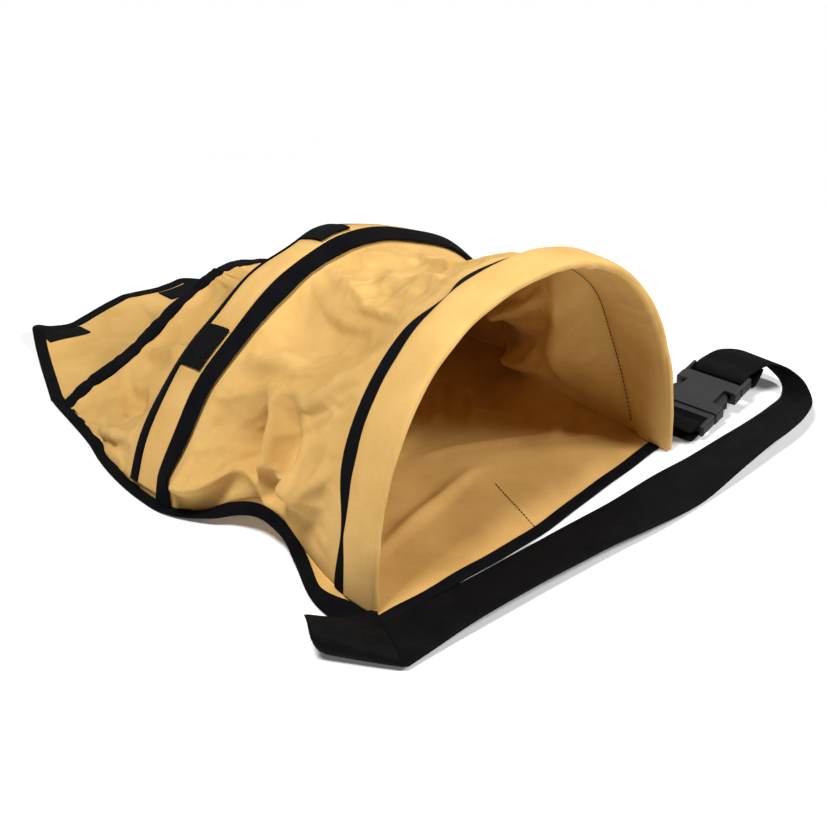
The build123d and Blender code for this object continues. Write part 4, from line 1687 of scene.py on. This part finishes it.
@dataclass
class WaistBelt:
    """The ribbed webbing belt and the short webbing loop on the buckle's plug."""

    sizes: BagSizes
    workshop: Workshop
    buckle: BuckleFrame
    width: float = 0.050
    thickness: float = 0.0018
    rib_pitch: float = 0.0021
    rib_height: float = 0.00026
    rows_per_rib: int = 5
    bar_at: float = 0.079
    plug_bar_at: float = 0.003
    turn_radius: float = 0.0044
    fold_past: float = -0.035
    fold_down: float = -0.050

    # The sewn end under the bar: past the bar, height, and the way its face looks
    TAIL = ((0.032, -0.0035, 0.4, -1.0), (0.026, -0.0085, 0.6, -1.0), (0.017, -0.0126, 0.1, -1.0),
            (0.008, -0.0096, -0.5, -1.0))
    LOOP = (
        Ruling((0.1100, 0.0185, 0.0265), (-0.14, 0.99, 0.0), (-0.1, 0.0, 1.0)),
        Ruling((0.1260, 0.0155, 0.0280), (-0.14, 0.99, 0.0), (0.1, 0.0, 1.0)),
        Ruling((0.1400, 0.0050, 0.0250), (-0.05, 0.99, 0.0), (0.6, 0.0, 0.8)),
        Ruling((0.1470, -0.0100, 0.0170), (0.16, 0.97, -0.12), (1.0, -0.15, 0.15)),
        Ruling((0.1430, -0.0270, 0.0110), (0.38, 0.88, -0.28), (0.75, -0.5, -0.5)),
        Ruling((0.1280, -0.0410, 0.0090), (0.36, 0.87, -0.32), (0.25, -0.4, -0.9)),
        Ruling((0.1020, -0.0490, 0.0090), (0.28, 0.92, -0.28), (0.05, -0.3, -0.95)),
        Ruling((0.0700, -0.0525, 0.0085), (0.1, 0.96, -0.27), (0.0, -0.27, -0.96)),
        Ruling((0.0400, -0.0540, 0.0085), (-0.12, 0.96, -0.24), (0.0, -0.24, -0.97)),
        Ruling((-0.0060, -0.0570, 0.0070), (-0.1, 0.985, -0.14), (0.0, -0.14, -0.99)),
        Ruling((-0.0540, -0.0590, 0.0050), (-0.06, 0.995, 0.06), (0.0, 0.06, -1.0)),
        Ruling((-0.1120, -0.0590, 0.0058), (-0.02, 0.99, -0.04), (0.0, -0.04, -0.99)),
        Ruling((-0.1600, -0.0560, 0.0064), (0.0, 0.98, -0.12), (0.0, -0.12, -1.0)),
    )
    CORNER = (
        Ruling((0.1200, -0.0535, 0.0064), (0.0, 0.97, -0.16), (0.0, -0.16, -1.0)),
        Ruling((0.0800, -0.0525, 0.0064), (0.0, 0.97, -0.17), (0.0, -0.17, -1.0)),
        Ruling((0.0400, -0.0510, 0.0060), (0.0, 0.98, -0.13), (0.0, -0.13, -1.0)),
        Ruling((0.0000, -0.0500, 0.0040), (0.0, 0.99, -0.05), (0.0, -0.05, -1.0)),
        Ruling((-0.0400, -0.0500, 0.0030), (0.0, 1.0, 0.0), (0.0, 0.0, -1.0)),
        Ruling((-0.0740, -0.0500, 0.0030), (0.0, 1.0, 0.0), (0.0, 0.0, -1.0)),
        Ruling((-0.1060, -0.0500, 0.0030), (0.0, 1.0, 0.0), (0.0, 0.0, -1.0)),
    )

    def from_corner(self, side: Side, ruling: Ruling) -> Points:
        """A ruling's middle, far reach and face direction, from a corner of the mouth."""
        past, down, height = ruling.middle
        middle = np.array((side.value * self.sizes.mouth_half + past, self.sizes.y_at(down), height))
        return np.stack((middle, np.array(ruling.across) * self.width / 2.0, unit(np.array(ruling.face))))

    def on_buckle(self, along: float, up: float, face: Points) -> Points:
        """A ruling across the buckle."""
        return np.stack((self.buckle.at(along, 0.0, up), self.buckle.across * self.width / 2.0, unit(face)))

    def hairpin(self, bar: float, first: float, last: float) -> list[Points]:
        """Rulings round one of the buckle's bars, between two angles in degrees."""
        rulings = []
        for degrees in np.linspace(first, last, 9):
            along = math.cos(math.radians(degrees))
            up = math.sin(math.radians(degrees))
            place = (bar + self.turn_radius * along, self.turn_radius * up)
            rulings.append(self.on_buckle(*place, self.buckle.way(along, up)))
        return rulings

    def ribbed(self, name: str, rulings: Sequence[Points]) -> bpy.types.Object:
        """Webbing with its cross ribs along a list of rulings.

        Args:
            name: Name of the new object.
            rulings: Middle, reach and face direction of each ruling.

        Returns:
            The new mesh object.
        """
        rulings = np.array(rulings)
        walked = run_length(rulings[:, 0])
        coarse = self.spread(walked, rulings, 500)
        walked = run_length(coarse[:, 0])
        ribs = int(walked[-1] / self.rib_pitch)
        rows = ribs * self.rows_per_rib
        fine = self.spread(walked, coarse, rows + 1)
        centres = fine[:, 0]
        along = unit(np.gradient(centres, axis=0))
        sides = fine[:, 1]
        outs = fine[:, 2]
        flat = unit(sides)
        outs = outs - flat * np.sum(outs * flat, axis=1)[:, None]
        level = np.cross(along, flat)
        level = unit(level) * np.sign(np.sum(level * outs, axis=1))[:, None]
        phase = 2.0 * math.pi * np.arange(rows + 1) / self.rows_per_rib
        half = self.thickness / 2.0 + self.rib_height * (np.cos(phase) - 1.0) / 2.0
        return Ribbon(name, centres, sides, level * half[:, None], around=36, even=True).build()

    def spread(self, walked: Points, rulings: Points, count: int) -> Points:
        """The same rulings, evenly spaced along the belt."""
        flat = rulings.reshape(len(rulings), -1)
        return curve_through(walked, flat, np.linspace(0.0, walked[-1], count)).reshape(count, 3, 3)

    def turn_over(self, belt: bpy.types.Object) -> None:
        """Folds the belt's left end back over to the corner of the mouth."""
        points = np.array([corner.co for corner in belt.data.vertices])
        middle = (-self.sizes.mouth_half + self.fold_past, self.sizes.y_at(self.fold_down))
        fold = Turnover(middle, heading=32.0, radius=0.006, cone=0.10, base=0.003, end_height=0.0050, slant=0.09)
        length = self.fold_past - self.CORNER[-1].middle[0]
        for corner, point in zip(belt.data.vertices, fold.apply(points, length)):
            corner.co = point

    def build(self) -> None:
        """Makes the belt and the plug's loop."""
        rulings = [self.on_buckle(self.bar_at + past, up, self.buckle.way(face_along, face_up))
                   for past, up, face_along, face_up in self.TAIL]
        rulings += self.hairpin(self.bar_at, -90.0, -270.0)
        rulings += [self.from_corner(Side.RIGHT, ruling) for ruling in self.LOOP]
        corner = [self.from_corner(Side.LEFT, ruling) for ruling in self.CORNER]
        rulings += [(rulings[-1] + corner[0]) / 2.0, *corner]
        belt = self.ribbed("belt_webbing_ribbed", rulings)
        self.turn_over(belt)
        self.workshop.dress(belt, Slot.WEBBING, "belt_webbing")
        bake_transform(belt)
        tab = [self.on_buckle(along, -self.turn_radius, self.buckle.way(0.0, -1.0)) for along in (-0.011, -0.004)]
        tab += self.hairpin(self.plug_bar_at, -90.0, 90.0)
        tab += [self.on_buckle(along, self.turn_radius, self.buckle.way(0.0, 1.0)) for along in (-0.004, -0.011)]
        loop = self.ribbed("buckle_tab_ribbed", tab)
        self.workshop.dress(loop, Slot.WEBBING, "buckle_tab")
        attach(loop, Body.BAG.value)


@dataclass
class Buckle:
    """The side-release buckle, in its CAD shape."""

    workshop: Workshop
    nodes: tuple[str, ...] = ("buckle_plug", "buckle_socket", "latch_arm_left", "latch_arm_right")

    def build(self) -> None:
        """Finishes the buckle's plastic."""
        for node in self.nodes:
            self.workshop.paint(node, Slot.BUCKLE)


@dataclass
class Studio:
    """Pale floor, soft light and the camera of the photograph."""

    azimuth: float = -43.4
    elevation: float = 30.0
    distance: float = 1.4693
    target: tuple[float, float, float] = (0.0505, 0.1535, 0.0)
    lens: float = 73.91
    sensor: float = 36.0
    world_light: float = 0.015
    floor_half: float = 4.0
    floor_colour: tuple[float, ...] = (0.93, 0.93, 0.93, 1.0)
    floor_boost: float = 0.10
    shadow_middle: tuple[float, float, float] = (0.05, 0.18, 0.0)
    shadow_reach: float = 0.34
    shadow_fade: float = 0.35
    lamp_aim: tuple[float, float, float] = (0.0, 0.1, 0.05)
    lamp_size: float = 0.6

    WHITE = (1.0, 1.0, 1.0, 1.0)
    # Name, place and power of each lamp
    LAMPS = (("front_softbox", (0.90, -1.20, 1.30), 31.0), ("left_softbox", (-0.85, -0.05, 2.10), 52.0))

    def build(self) -> None:
        """Makes the whole studio."""
        self.build_world()
        self.build_floor()
        for name, place, power in self.LAMPS:
            lamp = bpy.data.lights.new(name, "AREA")
            lamp.size = self.lamp_size
            lamp.energy = power
            self.hang(name, lamp, Vector(place), Vector(self.lamp_aim) - Vector(place))
        self.build_camera()

    def build_world(self) -> None:
        """White backdrop for the camera and a plain even light for the object."""
        world = bpy.data.worlds.new("studio")
        bpy.context.scene.world = world
        desk = NodeDesk(world)
        light = desk.add("Background", Strength=self.world_light, Color=self.WHITE)
        backdrop = desk.add("Background", Color=self.WHITE)
        desk.mix(desk.seen_rays(), light, backdrop, "OutputWorld")

    def build_floor(self) -> None:
        """Wide pale floor that keeps the object's shadow and turns plain white further off."""
        form = bmesh.new()
        bmesh.ops.create_grid(form, x_segments=1, y_segments=1, size=self.floor_half)
        floor = placed("studio_floor", form)
        desk = NodeDesk(bpy.data.materials.new("white floor"))
        seen = desk.seen_rays()
        glow = desk.add("Emission")
        desk.join(desk.maths("MULTIPLY", seen, self.floor_boost), 0, glow, "Strength")
        near = desk.add("AddShader")
        desk.join(desk.add("BsdfDiffuse", Color=self.floor_colour), 0, near, 0)
        desk.join(glow, 0, near, 1)
        off = desk.add("VectorMath", operation="DISTANCE")
        off.inputs[1].default_value = self.shadow_middle
        desk.join(desk.add("TexCoord"), "Object", off, 0)
        fade = desk.add("MapRange", interpolation_type="SMOOTHSTEP", From_Min=self.shadow_reach,
                        From_Max=self.shadow_reach + self.shadow_fade)
        desk.join(off, "Value", fade, "Value")
        desk.mix(desk.maths("MULTIPLY", fade, seen), near, desk.add("Emission"), "OutputMaterial")
        floor.data.materials.append(desk.owner)

    def hang(self, name: str, fitting: bpy.types.ID, place: Vector, look: Vector) -> bpy.types.Object:
        """Puts a lamp or a camera into the scene.

        Args:
            name: Name of the new object.
            fitting: The lamp or the camera.
            place: Where it hangs.
            look: The way that it looks.

        Returns:
            The new object.
        """
        holder = bpy.data.objects.new(name, fitting)
        bpy.context.scene.collection.objects.link(holder)
        holder.location = place
        holder.rotation_euler = look.to_track_quat("-Z", "Y").to_euler()
        return holder

    def build_camera(self) -> None:
        """The camera at the photograph's viewing angle."""
        turn = math.radians(self.azimuth)
        rise = math.radians(self.elevation)
        back = Vector((math.sin(turn) * math.cos(rise), -math.cos(turn) * math.cos(rise), math.sin(rise)))
        camera = bpy.data.cameras.new("photo_view")
        camera.lens = self.lens
        camera.sensor_width = self.sensor
        place = Vector(self.target) + back * self.distance
        bpy.context.scene.camera = self.hang("photo_view", camera, place, -back)


# Cloth edge at the left seam: down, X, Z. The seam is lifted and drawn in between the hoop and the cross seam.
LEFT_SEAM = SeamLine((
    (0.000, -0.171, 0.0016), (0.020, -0.169, 0.002), (0.045, -0.166, 0.003), (0.070, -0.162, 0.008),
    (0.100, -0.159, 0.020), (0.128, -0.161, 0.024), (0.150, -0.169, 0.018), (0.172, -0.181, 0.006),
    (0.200, -0.1925, 0.002), (0.230, -0.194, 0.0016), (0.255, -0.192, 0.0016), (0.300, -0.183, 0.0016),
    (0.325, -0.175, 0.0016), (0.365, -0.166, 0.0016), (0.400, -0.159, 0.0016), (0.420, -0.154, 0.0016),
))
RIGHT_SEAM = SeamLine((
    (0.000, 0.1655, 0.0016), (0.020, 0.164, 0.002), (0.045, 0.161, 0.004), (0.070, 0.154, 0.010),
    (0.095, 0.146, 0.018), (0.120, 0.142, 0.020), (0.145, 0.151, 0.014), (0.172, 0.174, 0.005),
    (0.200, 0.1915, 0.002), (0.230, 0.190, 0.0016), (0.255, 0.186, 0.0016), (0.300, 0.171, 0.0016),
    (0.325, 0.160, 0.0016), (0.365, 0.146, 0.0016), (0.400, 0.133, 0.0016), (0.420, 0.127, 0.0016),
))
# Folds of the arched front before it settles: (down, across) along each ridge, its width and its height, below 0 for
# a valley
FRONT_FOLDS = (
    # Broad valley and ridge under the crown
    Fold(((0.205, -0.060), (0.170, -0.080), (0.106, -0.109), (0.060, -0.124)), 0.026, -0.015),
    Fold(((0.200, -0.036), (0.150, -0.040), (0.110, -0.054), (0.050, -0.052)), 0.022, 0.006),
    # Hollow above the drawn-in seam, and the long folds that fan out from it
    Fold(((0.133, -0.285), (0.139, -0.234), (0.144, -0.196), (0.156, -0.156)), 0.028, -0.030, steep=4.0, power=1.5),
    Fold(((0.126, -0.275), (0.130, -0.230), (0.136, -0.196), (0.148, -0.160)), 0.011, 0.007, power=1.5),
    Fold(((0.105, -0.275), (0.106, -0.236), (0.110, -0.206), (0.124, -0.166)), 0.014, -0.015, steep=2.0, power=1.5),
    Fold(((0.104, -0.180), (0.070, -0.155), (0.040, -0.123)), 0.018, 0.010, steep=1.8, power=1.4),
    # Rolls that hang over the seam
    Fold(((0.214, -0.238), (0.192, -0.241), (0.172, -0.243), (0.148, -0.238)), 0.020, 0.024, steep=3.0, power=1.5),
    Fold(((0.151, -0.228), (0.139, -0.250), (0.132, -0.268)), 0.010, 0.015, power=1.5),
    Fold(((0.124, -0.238), (0.120, -0.257), (0.121, -0.270)), 0.007, -0.011, power=1.4),
    Fold(((0.118, -0.243), (0.098, -0.245), (0.075, -0.240), (0.048, -0.236)), 0.014, 0.014, steep=2.4, power=1.5),
    Fold(((0.078, -0.246), (0.064, -0.230), (0.036, -0.208)), 0.010, 0.007, power=1.3),
    # Right side, seen from inside: a pillar by the hoop, the hanging crown, a deep crease and a lobe
    Fold(((0.091, 0.266), (0.094, 0.241), (0.089, 0.209), (0.080, 0.170), (0.068, 0.115)),
         0.034, -0.024, steep=4.0, power=1.4),
    Fold(((0.085, 0.140), (0.108, 0.165), (0.150, 0.190), (0.205, 0.212)), 0.028, -0.020, steep=2.5, power=1.5),
    Fold(((0.092, 0.207), (0.127, 0.227), (0.205, 0.250)), 0.011, 0.014, power=1.5),
    Fold(((0.102, 0.258), (0.130, 0.250), (0.165, 0.254), (0.205, 0.262)), 0.018, -0.018, power=1.6),
    # Chute: valley along the band, ridges and dents
    Fold(((0.264, 0.030), (0.262, -0.060), (0.263, -0.140), (0.268, -0.215)), 0.011, -0.014),
    Fold(((0.350, -0.055), (0.312, -0.115), (0.296, -0.175)), 0.018, -0.017, power=1.4),
    Fold(((0.290, -0.098), (0.330, -0.126), (0.400, -0.158)), 0.014, 0.013, steep=1.4, power=1.3),
    Fold(((0.390, -0.030), (0.340, -0.050), (0.285, -0.070)), 0.018, 0.012, steep=1.6, power=1.4),
    Fold(((0.338, -0.172), (0.322, -0.205)), 0.012, -0.010, power=1.4),
    Fold(((0.362, -0.256), (0.309, -0.230), (0.266, -0.214)), 0.014, 0.011, steep=2.0, power=1.4),
    Fold(((0.400, 0.040), (0.330, 0.060), (0.270, 0.090)), 0.020, -0.014),
    Fold(((0.400, 0.110), (0.320, 0.150)), 0.016, 0.006, valley=0.5),
)
# Sharp creases pressed into the settled front
FRONT_CREASES = (
    # Crumple beside the crown
    Fold(((0.180, 0.000), (0.131, -0.034)), 0.009, -0.0035, steep=1.8, power=1.3),
    Fold(((0.136, -0.008), (0.088, -0.034)), 0.009, -0.0035, steep=1.8, power=1.3),
    Fold(((0.142, -0.047), (0.104, -0.038)), 0.008, -0.003, steep=1.8, power=1.3),
    Fold(((0.070, -0.052), (0.084, -0.022)), 0.008, -0.003, steep=1.8, power=1.3),
    # Pleats by the cross seam
    Fold(((0.196, -0.136), (0.165, -0.132), (0.130, -0.130)), 0.010, 0.0045, steep=1.8, power=1.3),
    Fold(((0.198, -0.122), (0.160, -0.120)), 0.010, -0.004, power=1.4),
    Fold(((0.192, -0.148), (0.165, -0.149), (0.142, -0.143)), 0.010, -0.004, power=1.4),
    # Folds of the hollow
    Fold(((0.133, -0.272), (0.139, -0.236), (0.144, -0.196), (0.155, -0.162)), 0.016, -0.011, steep=3.5, power=1.3),
    Fold(((0.105, -0.268), (0.106, -0.236), (0.110, -0.206), (0.122, -0.170)), 0.008, -0.005, steep=2.0, power=1.3),
    Fold(((0.094, -0.262), (0.095, -0.215), (0.105, -0.165)), 0.007, 0.003, steep=2.0, power=1.3),
    Fold(((0.186, -0.212), (0.183, -0.246)), 0.006, -0.003, power=1.3),
    # Creases by the hoop
    Fold(((0.120, -0.186), (0.082, -0.160), (0.040, -0.120)), 0.010, 0.006, steep=2.5, power=1.3),
    Fold(((0.108, -0.200), (0.072, -0.176), (0.040, -0.142)), 0.008, 0.0035, steep=2.2, power=1.3),
    Fold(((0.152, -0.120), (0.098, -0.112), (0.046, -0.100)), 0.011, -0.004, steep=1.6, power=1.3),
    Fold(((0.196, -0.098), (0.160, -0.108), (0.128, -0.126)), 0.010, -0.004, steep=1.8, power=1.3),
    Fold(((0.080, -0.254), (0.064, -0.230), (0.038, -0.206)), 0.008, 0.004, steep=2.0, power=1.3),
    Fold(((0.126, -0.236), (0.120, -0.257), (0.121, -0.270)), 0.006, -0.005, power=1.3),
    # Right side, seen from inside
    Fold(((0.091, 0.262), (0.094, 0.241), (0.089, 0.209), (0.082, 0.172)), 0.016, -0.006, steep=4.0, power=1.2),
    Fold(((0.110, 0.250), (0.150, 0.232)), 0.006, 0.004, power=1.2),
    # Chute
    Fold(((0.290, -0.098), (0.330, -0.127), (0.396, -0.156)), 0.009, 0.005, steep=2.0, power=1.2),
    Fold(((0.372, -0.178), (0.350, -0.186), (0.330, -0.182)), 0.007, -0.005, power=1.2),
    Fold(((0.338, -0.196), (0.322, -0.206)), 0.007, -0.005, power=1.2),
    Fold(((0.272, -0.180), (0.270, -0.212), (0.264, -0.240)), 0.005, 0.003, steep=2.0, power=1.2),
    Fold(((0.340, -0.250), (0.309, -0.232), (0.268, -0.216)), 0.009, 0.005, steep=2.0, power=1.2),
)
# Folds of the back panel: (down, X) along each ridge
BACK_FOLDS = (
    Fold(((0.130, -0.020), (0.112, 0.031), (0.084, 0.084), (0.057, 0.112), (0.014, 0.170)),
         0.005, 0.005, valley=0.3, power=1.4),
    Fold(((0.036, -0.140), (0.060, -0.045), (0.074, 0.014), (0.070, 0.040)), 0.007, 0.007, valley=0.3, power=1.4),
    Fold(((0.180, 0.118), (0.134, 0.080), (0.106, 0.122)), 0.007, 0.010, valley=0.3, power=1.4),
    Fold(((0.150, 0.050), (0.195, 0.105)), 0.008, 0.010, valley=0.3, power=1.4),
    Fold(((0.155, 0.015), (0.205, 0.075)), 0.008, 0.009, valley=0.3, power=1.4),
    Fold(((0.066, 0.095), (0.076, 0.149), (0.054, 0.176)), 0.007, 0.008, valley=0.3, power=1.4),
    Fold(((0.100, -0.120), (0.140, -0.020), (0.160, 0.060)), 0.010, 0.007, valley=0.3, power=1.4),
)


def clear_scene() -> None:
    """Empties the scene that Blender starts with."""
    for thing in list(bpy.data.objects):
        bpy.data.objects.remove(thing)


def main() -> None:
    """Builds the bag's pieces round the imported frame, and the studio."""
    logging.basicConfig(level=logging.INFO, format="%(name)s: %(message)s")
    clear_scene()
    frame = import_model()
    bpy.context.scene.view_settings.view_transform = "Standard"
    sizes = BagSizes.from_frame()
    workshop = Workshop(frame, Finishes().shop())
    shape = FrontShape(sizes, LEFT_SEAM, RIGHT_SEAM, FRONT_FOLDS, FRONT_CREASES)
    shape.settle()
    cloth = FrontCloth(sizes, shape, workshop)
    cloth.build()
    FrontTapes(sizes, shape, cloth, workshop).build()
    back = BackCloth(sizes, shape, workshop, BACK_FOLDS)
    back.build()
    hoop = MouthHoop(sizes, shape, workshop)
    hoop.build()
    Stitching(sizes, shape, workshop).build(back, hoop)
    buckle = BuckleFrame.from_record(frame["record"], sizes)
    WaistBelt(sizes, workshop, buckle).build()
    Buckle(workshop).build()
    Studio().build()


if __name__ == "__main__":
    main()
